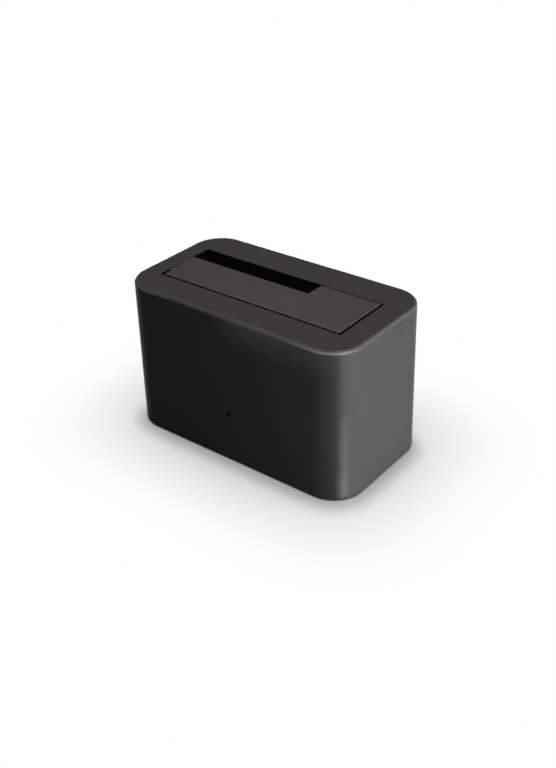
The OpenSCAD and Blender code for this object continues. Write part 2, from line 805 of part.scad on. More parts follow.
module jack_pin() color(steel) {
    tip = jack_floor + jack_pin_l - jack_pin_r;
    rod_y(jack_floor - jack_root_l, jack_floor, jack_x, jack_z, jack_root_r);
    rod_y(jack_floor - over, tip, jack_x, jack_z, jack_pin_r);
    translate([jack_x, tip, jack_z]) sphere(jack_pin_r);
}

module jack_contact() color(gold)
    block([jack_x - jack_leaf_w / 2, jack_floor, jack_z - jack_bore_r - jack_leaf_t],
        [jack_x + jack_leaf_w / 2, jack_floor + jack_leaf_l, jack_z - jack_bore_r + jack_leaf_t / 2]);

module switch_body() color(chip_black) difference() {
    block([button_x - switch_w / 2, switch_back, board_top],
        [button_x + switch_w / 2, switch_face, button_z + switch_h / 2]);
    rod_y(bore_floor, switch_face + over, button_x, button_z, plunger_bore_r);
}

// Path of the return spring between the switch's bore and its plunger
function switch_spring_path() = let (steps = switch_coil_turns * coil_rings)
    [for (i = [0 : steps]) let (a = 360 * i / coil_rings)
        [button_x + switch_coil_r * cos(a), bore_floor + switch_wire_r + switch_coil_l * i / steps,
            button_z + switch_coil_r * sin(a)]];

module switch_spring() color(steel) {
    path = switch_spring_path();
    echo(least_gap_of_switch_spring = least_gap(path, switch_wire_r));
    tube(path, switch_wire_r, [0, 1, 0]);
}

module switch_plunger() color("white") rod_y(plunger_end, plunger_seat, button_x, button_z, plunger_r);

module power_button() color(satin_black) difference() {
    union() {
        rod_y(flange_front, flange_back, button_x, button_z, flange_r);
        rod_y(flange_back - over, button_face - button_chamfer, button_x, button_z, button_r);
        translate([button_x, button_face - button_chamfer, button_z]) rotate([-90, 0, 0])
            cylinder(r1 = button_r, r2 = button_r - button_chamfer, h = button_chamfer);
    }
    translate([button_x, button_face + button_dish_r - button_dish_d, button_z]) sphere(button_dish_r);
    rod_y(flange_front - over, plunger_seat, button_x, button_z, plunger_r + seat_fit);
}

// Flat package with its leads along two or four sides
module leaded_chip(w, d, h, leads, sides) {
    pitch = (w - 2 * lead_edge) / (leads - 1);
    block([-w / 2, -d / 2, chip_lift], [w / 2, d / 2, h]);
    for (s = [0 : sides - 1], i = [0 : leads - 1])
        rotate(s * 360 / sides) translate([pitch * (i - (leads - 1) / 2), d / 2, 0])
            block([-lead_w / 2, -lead_l / 2, 0], [lead_w / 2, lead_l, lead_t]);
}

module bridge_chip() color(chip_black) translate([bridge_x, chip_row, board_top])
    leaded_chip(bridge_w, bridge_w, bridge_h, bridge_leads, 4);

module flash_chip() color(chip_black) translate([flash_x, chip_row, board_top])
    leaded_chip(flash_w, flash_d, flash_h, flash_leads, 2);

module regulators() color(chip_black) for (x = regulator_xs) translate([x, chip_row, board_top])
    leaded_chip(regulator_w, regulator_d, regulator_h, regulator_leads, 2);

// Oval metal can
module crystal() color(steel) translate([crystal_x, chip_row, board_top]) linear_extrude(crystal_h) {
    square([crystal_w, crystal_d], center = true);
    for (x = [-crystal_w / 2, crystal_w / 2]) translate([x, 0]) circle(crystal_d / 2);
}

// Choke: a square ferrite foot, a round core and its top flange
module inductors() color(ferrite_grey) for (x = choke_xs) translate([x, choke_y, board_top]) {
    block([-choke_r, -choke_r, 0], [choke_r, choke_r, choke_flange_t]);
    cylinder(r = choke_core_r, h = choke_h);
    translate([0, 0, choke_h - choke_flange_t]) cylinder(r = choke_r, h = choke_flange_t);
}

// Round cans on square feet
module capacitors() color(can_grey) for (x = can_xs) translate([x, can_y, board_top]) {
    block([-can_base_w / 2, -can_base_w / 2, 0], [can_base_w / 2, can_base_w / 2, can_base_t]);
    cylinder(r = can_r, h = can_h);
}

module ceramic_parts() color(ceramic_tan) for (x = ceramic_xs, y = ceramic_ys) translate([x, y, board_top])
    block([-ceramic_w / 2, -ceramic_d / 2, 0], [ceramic_w / 2, ceramic_d / 2, ceramic_h]);

module status_lamp() color("ivory") {
    block([-status_w / 2, status_y - status_d / 2, board_top],
        [status_w / 2, status_y + status_d / 2, board_top + status_h / 2]);
    block([-status_w / 3, status_y - status_d / 2, board_top + status_h / 2 - status_h / 4],
        [status_w / 3, status_y + status_d / 2, board_top + status_h]);
}

// Bent rod from the lamp up to the hole in the front
module light_pipe() color(pipe_grey, 0.8) {
    rod_y(front_y - lean(lamp_z) + pipe_recess, status_y, 0, lamp_z, pipe_r);
    rod_y(front_in, front_in + pipe_collar_t, 0, lamp_z, pipe_collar_r);
    rod_z(board_top + status_h + pipe_gap, lamp_z, 0, status_y, pipe_r);
    translate([0, status_y, lamp_z]) sphere(pipe_r);
}

upper_housing();
flap();
light_pipe();
bay_frame();
bay_screws();
hinge_pin();
flap_springs();
base_plate();
base_screws();
rubber_feet();
main_board();
board_screws();
sata_connector();
sata_contacts();
usb_shell();
usb_tongue();
usb_contacts();
jack_body();
jack_pin();
jack_contact();
switch_body();
switch_spring();
switch_plunger();
power_button();
bridge_chip();
flash_chip();
crystal();
regulators();
inductors();
capacitors();
ceramic_parts();
status_lamp();
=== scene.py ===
"""Docking station for one bare hard drive: its fine shapes, finishes, studio and camera.

The part's sizes are in millimetres and are turned into metres where a mesh is made. They are those of the
solids: +X is right, the front faces -Y, +Z is up, and the feet stand on z = 0. The studio is in metres.
"""

import math

import bmesh
import bpy
from mathutils import Matrix, Vector


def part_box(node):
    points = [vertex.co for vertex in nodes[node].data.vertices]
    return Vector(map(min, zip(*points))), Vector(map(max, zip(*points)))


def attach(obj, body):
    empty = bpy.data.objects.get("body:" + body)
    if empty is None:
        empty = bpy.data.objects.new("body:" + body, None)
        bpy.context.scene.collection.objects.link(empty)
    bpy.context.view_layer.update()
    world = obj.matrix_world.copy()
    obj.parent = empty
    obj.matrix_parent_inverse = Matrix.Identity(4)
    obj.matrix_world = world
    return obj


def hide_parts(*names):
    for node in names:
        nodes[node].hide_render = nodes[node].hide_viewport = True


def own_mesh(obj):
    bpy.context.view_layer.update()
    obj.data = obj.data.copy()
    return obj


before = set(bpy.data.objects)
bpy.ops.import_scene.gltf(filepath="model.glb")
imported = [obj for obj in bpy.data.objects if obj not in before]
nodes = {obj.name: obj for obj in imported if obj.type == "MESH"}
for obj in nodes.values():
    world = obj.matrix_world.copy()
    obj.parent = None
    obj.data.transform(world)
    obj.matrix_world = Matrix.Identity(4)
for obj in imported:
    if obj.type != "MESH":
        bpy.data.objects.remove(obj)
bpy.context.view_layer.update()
scene = bpy.context.scene
scene.view_settings.view_transform = "Standard"

MM = 0.001
# How far a cutter reaches past its piece, and how near to a plane a corner counts as on it
OVER, NEAR = 1.0, 0.01
# Room round moving pieces, round ports and between screws and their bores
MOVING_GAP, PORT_GAP, SEAT_FIT = 0.4, 0.35, 0.02

# Housing
TOP_W, TOP_D, HIGH = 134.5, 72.7, 80.3
DRAFT, CORNER, EDGE = 0.8, 16.3, 1.5
WALL, ROOF, RIM_Z = 2.2, 2.6, 0.8
TOP_Z = RIM_Z + HIGH
ROOF_Z = TOP_Z - ROOF
IN_W, IN_D, IN_R = TOP_W - 2 * WALL, TOP_D - 2 * WALL, CORNER - WALL
BACK_IN = TOP_D / 2 - WALL
LAMP_Z, LAMP_HOLE_R = RIM_Z + 26.3, 1.0

# Drive mouth, with its slot for small drives
LEFT_RIM, RIGHT_RIM, FRONT_RIM, MOUTH_D = 11, 13.5, 17.3, 36.1
MOUTH_L, MOUTH_R = -TOP_W / 2 + LEFT_RIM, TOP_W / 2 - RIGHT_RIM
MOUTH_F = -TOP_D / 2 + FRONT_RIM
MOUTH_B = MOUTH_F + MOUTH_D
SLOT_W, SLOT_D = 74, 11.3
SLOT_R, SLOT_F = MOUTH_L + SLOT_W, MOUTH_B - SLOT_D

# Flap and its hinge
LEFT_GAP, RIGHT_GAP, FRONT_GAP, BACK_GAP = 0.4, 0.7, 0.8, 0.6
FLAP_L, FLAP_R = MOUTH_L + LEFT_GAP, MOUTH_R - RIGHT_GAP
FLAP_F, FLAP_B = MOUTH_F + FRONT_GAP, MOUTH_B - BACK_GAP
FLAP_T, SINK = 2.2, 0.2
FLAP_UNDER = TOP_Z - FLAP_T
# The lid ends a little short of its solid at the front and right, which widens the gaps there
FRONT_SHORT, RIGHT_SHORT = 0.5, 0.6
LID_F, LID_R = FLAP_F + FRONT_SHORT, FLAP_R - RIGHT_SHORT
KNUCKLE_R, KNUCKLE_W, KNUCKLE_IN, SPRING_ROOM = 2.5, 6, 1.2, 7.4
HINGE_IN, PIN_BORE_R = 2.2, 1.05
HINGE_Y, HINGE_Z = MOUTH_F + HINGE_IN, FLAP_UNDER - KNUCKLE_R + SINK
FIRST_KNUCKLE, LAST_KNUCKLE = FLAP_L + KNUCKLE_IN, FLAP_R - KNUCKLE_IN - KNUCKLE_W
KNUCKLE_STEP = KNUCKLE_W + SPRING_ROOM
KNUCKLES = (FIRST_KNUCKLE, FIRST_KNUCKLE + KNUCKLE_STEP, LAST_KNUCKLE - KNUCKLE_STEP, LAST_KNUCKLE)

# Base and board
BASE_T, BASE_FIT, POST_H, BOARD_T = 2.4, 0.25, 4, 1.6
BASE_TOP = RIM_Z + BASE_T
BOARD_Z = BASE_TOP + POST_H
BOARD_TOP = BOARD_Z + BOARD_T
FOOT_IN_X, FOOT_IN_Y, FOOT_R, FOOT_SEAT = 14, 9, 5.0, 0.8
FOOT_X, FOOT_Y = IN_W / 2 - FOOT_IN_X, IN_D / 2 - FOOT_IN_Y
POST_X, POST_FRONT, POST_BACK, POST_R = 44, -24.65, 29.45, 2.8

# Screws and what they go into
BOSS_OFF, BOSS_R, BOSS_TALL = 7.916, 3.5, 30
BOSS_X, BOSS_Y = IN_W / 2 - IN_R + BOSS_OFF, IN_D / 2 - IN_R + BOSS_OFF
BASE_SCREW_R, BASE_SCREW_L, BASE_HEAD_H = 1.3, 9.0, 1.2
COUNTERBORE_R, COUNTERBORE_H, BASE_HOLE_R = 2.6, 1.4, 1.6
TAB_X, TAB_BACK, TAB_T, TAB_BOSS_L, TAB_HALF = 42, 21.65, 2, 9, 2.3
TAB_FRONT, TAB_Z = -BACK_IN + TAB_HALF, ROOF_Z - TAB_BOSS_L - TAB_T
BAY_SCREW_R, BAY_HEAD_H = 1.0, 1.5
BOARD_SCREW_R, BOARD_SCREW_L, BOARD_HEAD_H = 1.1, 5.0, 1.4

# Rear panel
PORT_PITCH, DATA_PITCH = 36, 15
BUTTON_X, BUTTON_R, BUTTON_TRAVEL, BUTTON_PROUD = PORT_PITCH, 4.0, 2, 1
FLANGE_R, FLANGE_T = BUTTON_R + 1.2, 1.2
BUTTON_Z = BOARD_TOP + FLANGE_R + MOVING_GAP
BUTTON_LEAN = DRAFT * (1 - (BUTTON_Z - RIM_Z) / (HIGH - EDGE))
BUTTON_FACE = TOP_D / 2 + BUTTON_LEAN + BUTTON_PROUD
INLET_X, INLET_Z, INLET_R = -PORT_PITCH, BOARD_TOP + 5.4, 4.1
DATA_X, DATA_WALL = PORT_PITCH - DATA_PITCH, 0.4
DATA_W, DATA_H, DATA_CORNER = 8.5, 7.8, 1.6
DATA_UPPER_W, DATA_UPPER_H = 5.7, 2.7

# Cutters through the front or back wall run between these
WALL_NEAR, WALL_FAR = 30, 45


# Tools of the bench


def mm(*values):
    """Millimetres as metres."""
    return tuple(v * MM for v in values)


def corners(x, front, back):
    """Four places, left and right of the middle, each at the front and at the back."""
    return [(side, y) for side in (-x, x) for y in (front, back)]


def bare_scene():
    """Object mode with nothing selected."""
    if bpy.context.mode != "OBJECT":
        bpy.ops.object.mode_set(mode="OBJECT")
    bpy.ops.object.select_all(action="DESELECT")


def hold(piece):
    """Selects one piece alone and makes it the active one."""
    bare_scene()
    bpy.context.view_layer.objects.active = piece
    piece.select_set(True)


def open_mesh(piece):
    """Opens one piece alone in edit mode, all of it selected."""
    hold(piece)
    bpy.ops.object.mode_set(mode="EDIT")
    bpy.ops.mesh.select_all(action="SELECT")


def close_mesh():
    bpy.ops.object.mode_set(mode="OBJECT")


def named(name):
    """The object that was just added, under its own name."""
    piece = bpy.context.object
    piece.name = name
    piece.data.name = name
    return piece


def pick(kind, test):
    """In edit mode, selects only the faces or edges that pass a test."""
    bpy.ops.mesh.select_mode(type={"faces": "FACE", "edges": "EDGE"}[kind])
    bpy.ops.mesh.select_all(action="DESELECT")
    data = bpy.context.object.data
    mesh = bmesh.from_edit_mesh(data)
    for part in getattr(mesh, kind):
        if test(part):
            part.select_set(True)
    bmesh.update_edit_mesh(data)


def pick_facing(axis, way=1):
    """In edit mode, selects the faces that look along an axis, or against it where way is -1."""
    straight = 0.99
    pick("faces", lambda f: f.normal["XYZ".index(axis)] * way > straight)


def places(edge):
    """The two ends of an edge, in millimetres."""
    return [v.co / MM for v in edge.verts]


def runs_along(edge, axis):
    """True where an edge's ends lie over a millimetre apart along an axis."""
    first, second = (place["XYZ".index(axis)] for place in places(edge))
    return abs(first - second) > 1


def sharp(edge):
    """True where two faces meet at a clear angle, in radians."""
    clear_angle = 0.9
    return len(edge.link_faces) == 2 and edge.calc_face_angle(0) > clear_angle


def round_edges(test, radius, segments=3):
    """In edit mode, rounds the sharp edges whose two ends pass a test."""
    pick("edges", lambda e: sharp(e) and all(test(p) for p in places(e)))
    bpy.ops.mesh.bevel(offset=radius * MM, segments=segments, profile=0.5, clamp_overlap=True)


def tidy(piece):
    """Merges doubles and turns all faces outwards."""
    open_mesh(piece)
    bpy.ops.mesh.remove_doubles(threshold=1e-7)
    bpy.ops.mesh.normals_make_consistent(inside=False)
    close_mesh()
    return piece


def use_modifier(piece, kind, **settings):
    """Adds a modifier, sets it and applies it."""
    hold(piece)
    modifier = piece.modifiers.new(kind.lower(), kind)
    for key, value in settings.items():
        setattr(modifier, key, value)
    bpy.ops.object.modifier_apply(modifier=modifier.name)


def combine(piece, operation, others):
    """Joins others to a piece, or takes them out of it, and removes them."""
    for other in others:
        use_modifier(piece, "BOOLEAN", operation=operation, solver="EXACT", object=other)
        bpy.data.objects.remove(other)
    return piece


def cut(piece, *tools):
    """Takes the tools' shapes out of a piece."""
    return combine(piece, "DIFFERENCE", tools)


def weld(piece, *others):
    """Makes one solid of a piece and others."""
    return combine(piece, "UNION", others)


def block(name, low, high):
    """A block between two opposite corners."""
    bare_scene()
    bpy.ops.mesh.primitive_cube_add(size=MM)
    piece = named(name)
    open_mesh(piece)
    bpy.ops.transform.resize(value=[b - a for a, b in zip(low, high)])
    bpy.ops.transform.translate(value=mm(*((a + b) / 2 for a, b in zip(low, high))))
    close_mesh()
    return piece


def rod(name, axis, low, high, radius, x=0, y=0, z=0, sides=64):
    """A round bar from low to high along one axis, through the point given by the other two."""
    bare_scene()
    bpy.ops.mesh.primitive_cylinder_add(vertices=sides, radius=radius * MM, depth=(high - low) * MM)
    piece = named(name)
    open_mesh(piece)
    turn_about = {"X": "Y", "Y": "X"}.get(axis)
    if turn_about:
        bpy.ops.transform.rotate(value=math.pi / 2, orient_axis=turn_about, center_override=(0, 0, 0))
    place = {"X": x, "Y": y, "Z": z}
    place[axis] = (low + high) / 2
    bpy.ops.transform.translate(value=mm(*place.values()))
    close_mesh()
    return piece


def rounded_plate(name, width, depth, radius, z):
    """A flat plate with round corners, left in edit mode with its one face selected."""
    bare_scene()
    bpy.ops.mesh.primitive_plane_add(size=MM)
    piece = named(name)
    open_mesh(piece)
    bpy.ops.transform.resize(value=(width, depth, 1))
    bpy.ops.transform.translate(value=mm(0, 0, z))
    bpy.ops.mesh.select_mode(type="VERT")
    bpy.ops.mesh.bevel(offset=radius * MM, segments=24, affect="VERTICES")
    bpy.ops.mesh.select_all(action="SELECT")
    return piece


def raise_face(height):
    """Extrudes the selected faces straight up."""
    bpy.ops.mesh.extrude_region_move(TRANSFORM_OT_translate={"value": mm(0, 0, height)})


def four_of(piece, across, along):
    """A piece and its copies at the other three corners of a rectangle, each with its own mesh."""
    made = [piece]
    for number, offset in enumerate(((across, 0, 0), (0, along, 0), (across, along, 0)), 2):
        hold(piece)
        bpy.ops.object.duplicate_move(TRANSFORM_OT_translate={"value": mm(*offset)})
        made.append(named(f"{piece.name}_{number}"))
        bpy.ops.object.transform_apply(location=True, rotation=False, scale=False)
    return made


def wire(name, points, radius):
    """Round wire along a list of points, as a closed mesh."""
    curve = bpy.data.curves.new(name, "CURVE")
    curve.dimensions = "3D"
    curve.bevel_depth = radius * MM
    curve.bevel_resolution = 3
    curve.use_fill_caps = True
    line = curve.splines.new("POLY")
    line.points.add(len(points) - 1)
    for point, place in zip(line.points, points):
        point.co = (*mm(*place), 1)
    piece = bpy.data.objects.new(name, curve)
    scene.collection.objects.link(piece)
    hold(piece)
    bpy.ops.object.convert(target="MESH")
    return tidy(named(name))


def softened(name, node, radius):
    """A copy of a solid with its sharp edges rounded as moulding leaves them."""
    flat_angle, edge_angle = math.radians(0.5), math.radians(35)
    piece = bpy.data.objects.new(name, nodes[node].data.copy())
    scene.collection.objects.link(piece)
    hold(piece)
    bpy.ops.mesh.customdata_custom_splitnormals_clear()
    open_mesh(piece)
    bpy.ops.mesh.remove_doubles(threshold=1e-6)
    bpy.ops.mesh.dissolve_limited(angle_limit=flat_angle)
    close_mesh()
    use_modifier(piece, "BEVEL", width=radius * MM, segments=2, limit_method="ANGLE",
                 angle_limit=edge_angle, use_clamp_overlap=True)
    return piece


def smooth(piece):
    """Smooth shading over the rounds, with the flats kept flat."""
    hold(piece)
    bpy.ops.object.shade_smooth_by_angle(angle=math.radians(32))
    use_modifier(piece, "WEIGHTED_NORMAL", keep_sharp=True, weight=80)


def fit(piece, body, slot, *replaced):
    """Puts a finished piece on its body, with the finish of its slot."""
    smooth(piece)
    piece.data.materials.clear()
    piece.data.materials.append(finishes[slot])
    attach(piece, body)
    if replaced:
        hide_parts(*replaced)


def nodes_box(node):
    """A solid's box, in millimetres."""
    low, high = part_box(node)
    return low / MM, high / MM


# Nodes of a finish


def tone(red, green, blue):
    """A colour given in screen levels, as the shader wants it."""
    levels = [v / 255 for v in (red, green, blue)]
    return [v / 12.92 if v <= 0.04045 else ((v + 0.055) / 1.055) ** 2.4 for v in levels]


def scaled(colour, share):
    return [c * share for c in colour]


def new_finish(name):
    """An empty finish: its node tree, its shader and the place on the piece."""
    finish = bpy.data.materials.new(name)
    finish.use_nodes = True
    tree = finish.node_tree
    place = tree.nodes.new("ShaderNodeTexCoord").outputs["Object"]
    return finish, tree, tree.nodes["Principled BSDF"], place


def put(tree, socket, value):
    """Joins a socket to another one, or sets it to a constant."""
    if isinstance(value, bpy.types.NodeSocket):
        tree.links.new(value, socket)
    else:
        socket.default_value = value


def put_named(tree, node, **inputs):
    """Joins or sets a node's sockets by name, with underscores for the spaces."""
    for key, value in inputs.items():
        put(tree, node.inputs[key.replace("_", " ")], value)


def add(tree, kind, settings=None, **inputs):
    """A node with its settings and its sockets."""
    node = tree.nodes.new("ShaderNode" + kind)
    for key, value in (settings or {}).items():
        setattr(node, key, value)
    put_named(tree, node, **inputs)
    return node


def reckon(tree, kind, operation, values):
    """A node that works something out from its sockets in turn."""
    node = add(tree, kind, {"operation": operation})
    for socket, value in zip(node.inputs, values):
        put(tree, socket, value)
    return node


def number(tree, operation, *values):
    return reckon(tree, "Math", operation, values).outputs["Value"]


def vector(tree, operation, *values):
    return reckon(tree, "VectorMath", operation, values).outputs["Vector"]


def length(tree, value):
    return reckon(tree, "VectorMath", "LENGTH", [value]).outputs["Value"]


def both_of(tree, first, second):
    return number(tree, "MULTIPLY", first, second)


def part_of(tree, place, axis):
    """One coordinate of a place."""
    return add(tree, "SeparateXYZ", Vector=place).outputs[axis]


def speckle(tree, place, size, detail=2.0):
    """Noise whose grains are about as wide as the size."""
    return add(tree, "TexNoise", Vector=place, Scale=1 / (size * MM), Detail=detail).outputs["Fac"]


def stretched(tree, place, along, size):
    """Noise drawn out into fine lines along one axis."""
    scale = [1.0, 1.0, 1.0]
    scale["XYZ".index(along)] = 0.03
    lines = add(tree, "Mapping", Vector=place, Scale=scale).outputs["Vector"]
    return speckle(tree, lines, size, 3.0)


def spread(tree, value, low, high):
    """The middle of a noise spread from low to high."""
    node = add(tree, "MapRange", Value=value, From_Min=0.3, From_Max=0.7, To_Min=low, To_Max=high)
    return node.outputs["Result"]


def ramp(tree, value, start, end):
    """0 at the start, 1 at the end, and smooth between them."""
    way = {"interpolation_type": "SMOOTHSTEP"}
    return add(tree, "MapRange", way, Value=value, From_Min=start * MM, From_Max=end * MM).outputs["Result"]


def blend(tree, share, first, second):
    """The first colour at share 0, the second at 1. Each is a tone or a socket."""
    pair = [c if isinstance(c, bpy.types.NodeSocket) else (*c, 1) for c in (first, second)]
    return add(tree, "Mix", {"data_type": "RGBA"}, Factor=share, A=pair[0], B=pair[1]).outputs["Result"]


def relief(tree, shader, value, depth, strength):
    """Raises the surface by a height pattern."""
    bump = add(tree, "Bump", Height=value, Distance=depth * MM, Strength=strength)
    put_named(tree, shader, Normal=bump.outputs["Normal"])


def beyond_box(tree, place, half_x, half_y):
    """How far a place lies outside an upright box round the origin, which is a metre high."""
    outside = vector(tree, "SUBTRACT", vector(tree, "ABSOLUTE", place), (half_x * MM, half_y * MM, 1))
    return length(tree, vector(tree, "MAXIMUM", outside, (0, 0, 0)))


# Painted highlights and painted shade: places that are paler or darker


def painted_edge_highlight(tree, place):
    """1 along the housing's rolled top edge, where a paler colour is painted on as a highlight."""
    starts, full = 2.3, 0.9
    out = beyond_box(tree, place, TOP_W / 2 - CORNER, TOP_D / 2 - CORNER)
    out_and_up = number(tree, "ADD", out, part_of(tree, place, "Z"))
    return ramp(tree, out_and_up, CORNER + TOP_Z - starts, CORNER + TOP_Z - full)


def painted_corner_highlights(tree, place):
    """1 on a line low on the rolled edge at the housing's four corners, where a brighter painted highlight
    goes.
    """
    x_starts, x_full, y_starts, y_full = 28, 58, 22, 34
    below, low, high, above = 1.9, 1.4, 0.8, 0.3
    size = vector(tree, "ABSOLUTE", place)
    x_share = ramp(tree, part_of(tree, size, "X"), x_starts, x_full)
    y_share = ramp(tree, part_of(tree, size, "Y"), y_starts, y_full)
    height = part_of(tree, size, "Z")
    from_below = ramp(tree, height, TOP_Z - below, TOP_Z - low)
    from_above = ramp(tree, height, TOP_Z - above, TOP_Z - high)
    return both_of(tree, both_of(tree, from_below, from_above), both_of(tree, x_share, y_share))


def painted_mouth_shade(tree, place):
    """1 on the inner walls of the housing's mouth, which are painted dark as shade."""
    off_wall, on_wall = 0.06, 0.03
    starts, full = 0.1, 0.16
    middle = vector(tree, "SUBTRACT", place, mm((MOUTH_L + MOUTH_R) / 2, (MOUTH_F + MOUTH_B) / 2, 0))
    out = beyond_box(tree, middle, (MOUTH_R - MOUTH_L) / 2, (MOUTH_B - MOUTH_F) / 2)
    below_top = ramp(tree, part_of(tree, place, "Z"), TOP_Z - starts, TOP_Z - full)
    return both_of(tree, ramp(tree, out, off_wall, on_wall), below_top)


def painted_bore_shade(tree, place):
    """1 in the bore for the lamp's light pipe, painted dark inside as shade."""
    outside, inside = 1.36, 1.26
    front_starts, front_full = -10, -12
    from_middle = vector(tree, "SUBTRACT", place, mm(0, 0, LAMP_Z))
    from_axis = length(tree, vector(tree, "MULTIPLY", from_middle, (1, 0, 1)))
    in_front = ramp(tree, part_of(tree, place, "Y"), front_starts, front_full)
    return both_of(tree, ramp(tree, from_axis, outside, inside), in_front)


def painted_flap_shade(tree, place):
    """1 on the flap's sides and underside, which are painted dark as shade, so the gaps round the flap read
    darker.
    """
    starts, full = 0.05, 0.1
    return ramp(tree, part_of(tree, place, "Z"), TOP_Z - starts, TOP_Z - full)


def painted_flap_highlight(tree, place):
    """1 on the rolled upper edge along the flap's front and right, where a paler colour is painted on as a
    highlight.
    """
    inside, outside = 0.9, 0.5
    starts, full = 0.002, 0.008
    front = ramp(tree, part_of(tree, place, "Y"), LID_F + inside, LID_F + outside)
    right = ramp(tree, part_of(tree, place, "X"), LID_R - inside, LID_R - outside)
    off_flat = ramp(tree, part_of(tree, place, "Z"), TOP_Z - starts, TOP_Z - full)
    return both_of(tree, number(tree, "MAXIMUM", front, right), off_flat)


# Finishes


def surface(name, colour, roughness, grain, depth, strength, vary, metal=0.0, shine=0.5, painted_light=()):
    """A finish with soft clouds in its colour and a fine grain in its gloss and height.

    Each of the zones is a painted highlight or painted shade: a paler or darker place on the piece, given by
    its mask, and the least and most of the colour there.
    """
    cloud, gloss_varies = 14, 0.06
    finish, tree, shader, place = new_finish(name)
    clouds = spread(tree, speckle(tree, place, cloud), 0, 1)
    grains = speckle(tree, place, grain)
    shade = blend(tree, clouds, scaled(colour, 1 - vary), scaled(colour, 1 + vary))
    # The painted highlights and painted shade, laid over the colour
    for mask, least, most in painted_light:
        painted_colour = blend(tree, grains, scaled(colour, least), scaled(colour, most))
        shade = blend(tree, mask(tree, place), shade, painted_colour)
    gloss = spread(tree, grains, roughness - gloss_varies, roughness + gloss_varies)
    put_named(tree, shader, Base_Color=shade, Roughness=gloss, Metallic=metal, Specular_IOR_Level=shine)
    relief(tree, shader, grains, depth, strength)
    return finish


def drawn_metal(name, colour, roughness, along):
    """Metal with the fine lines that drawing or turning leaves along one axis."""
    line, stain, darkest, gloss_varies = 0.12, 3.0, 0.9, 0.08
    finish, tree, shader, place = new_finish(name)
    lines = stretched(tree, place, along, line)
    stains = spread(tree, speckle(tree, place, stain), 0, 1)
    shade = blend(tree, stains, scaled(colour, darkest), colour)
    gloss = spread(tree, lines, roughness - gloss_varies, roughness + gloss_varies)
    put_named(tree, shader, Base_Color=shade, Roughness=gloss, Metallic=1.0)
    relief(tree, shader, lines, depth=0.004, strength=0.4)
    return finish


def two_part(name, height, low, high, roughness):
    """A finish that changes at a height: a component's feet or leads below, its body above.

    Low and high are each a tone and how much of a metal it is.
    """
    grain, darkest, gloss_varies = 0.2, 0.85, 0.08
    finish, tree, shader, place = new_finish(name)
    grains = speckle(tree, place, grain)
    above = number(tree, "GREATER_THAN", part_of(tree, place, "Z"), height * MM)
    low_shade, high_shade = (blend(tree, grains, scaled(c, darkest), c) for c in (low[0], high[0]))
    metal = add(tree, "MapRange", Value=above, To_Min=low[1], To_Max=high[1]).outputs["Result"]
    gloss = spread(tree, grains, roughness - gloss_varies, roughness + gloss_varies)
    shade = blend(tree, above, low_shade, high_shade)
    put_named(tree, shader, Base_Color=shade, Metallic=metal, Roughness=gloss)
    relief(tree, shader, grains, depth=0.006, strength=0.4)
    return finish


def laminate(name):
    """Circuit board: green mask over paler copper runs."""
    finish, tree, shader, place = new_finish(name)
    mottle = speckle(tree, place, 0.6)
    pattern = {"offset": 0.37, "squash": 0.6, "squash_frequency": 3}
    runs = add(tree, "TexBrick", pattern, Vector=place, Scale=170, Mortar_Size=0.035, Brick_Width=1.7,
               Row_Height=0.35).outputs["Fac"]
    mask = blend(tree, mottle, tone(24, 82, 52), tone(30, 94, 60))
    shade = blend(tree, runs, mask, tone(58, 128, 86))
    put_named(tree, shader, Base_Color=shade, Roughness=spread(tree, mottle, 0.28, 0.42))
    relief(tree, shader, runs, depth=0.03, strength=0.5)
    return finish


def smoked_rod(name):
    """Smoked clear plastic with a faint haze."""
    finish, tree, shader, place = new_finish(name)
    haze = speckle(tree, place, 0.8)
    shade = blend(tree, haze, tone(38, 39, 40), tone(48, 49, 50))
    put_named(tree, shader, Base_Color=shade, Roughness=spread(tree, haze, 0.08, 0.2))
    put_named(tree, shader, Transmission_Weight=1.0, IOR=1.49, Specular_IOR_Level=0.1)
    return finish


STEEL, TIN, EPOXY = tone(186, 188, 192), tone(176, 178, 180), tone(30, 30, 32)
CAN, FERRITE_FOOT, FERRITE = tone(182, 184, 188), tone(60, 60, 63), tone(78, 76, 76)
# Painted highlights along the housing's rolled edge and at its corners, and painted shade in the mouth and in
# the lamp's bore
HOUSING_PAINTED_LIGHT = (
    (painted_edge_highlight, 1.3, 1.6),
    (painted_corner_highlights, 2.8, 3.6),
    (painted_mouth_shade, 0.1, 0.2),
    (painted_bore_shade, 0.05, 0.1),
)
# A painted highlight on the flap's front and right rim, and painted shade on its sides and underside
FLAP_PAINTED_LIGHT = (
    (painted_flap_highlight, 2.6, 3.4),
    (painted_flap_shade, 0.1, 0.2),
)

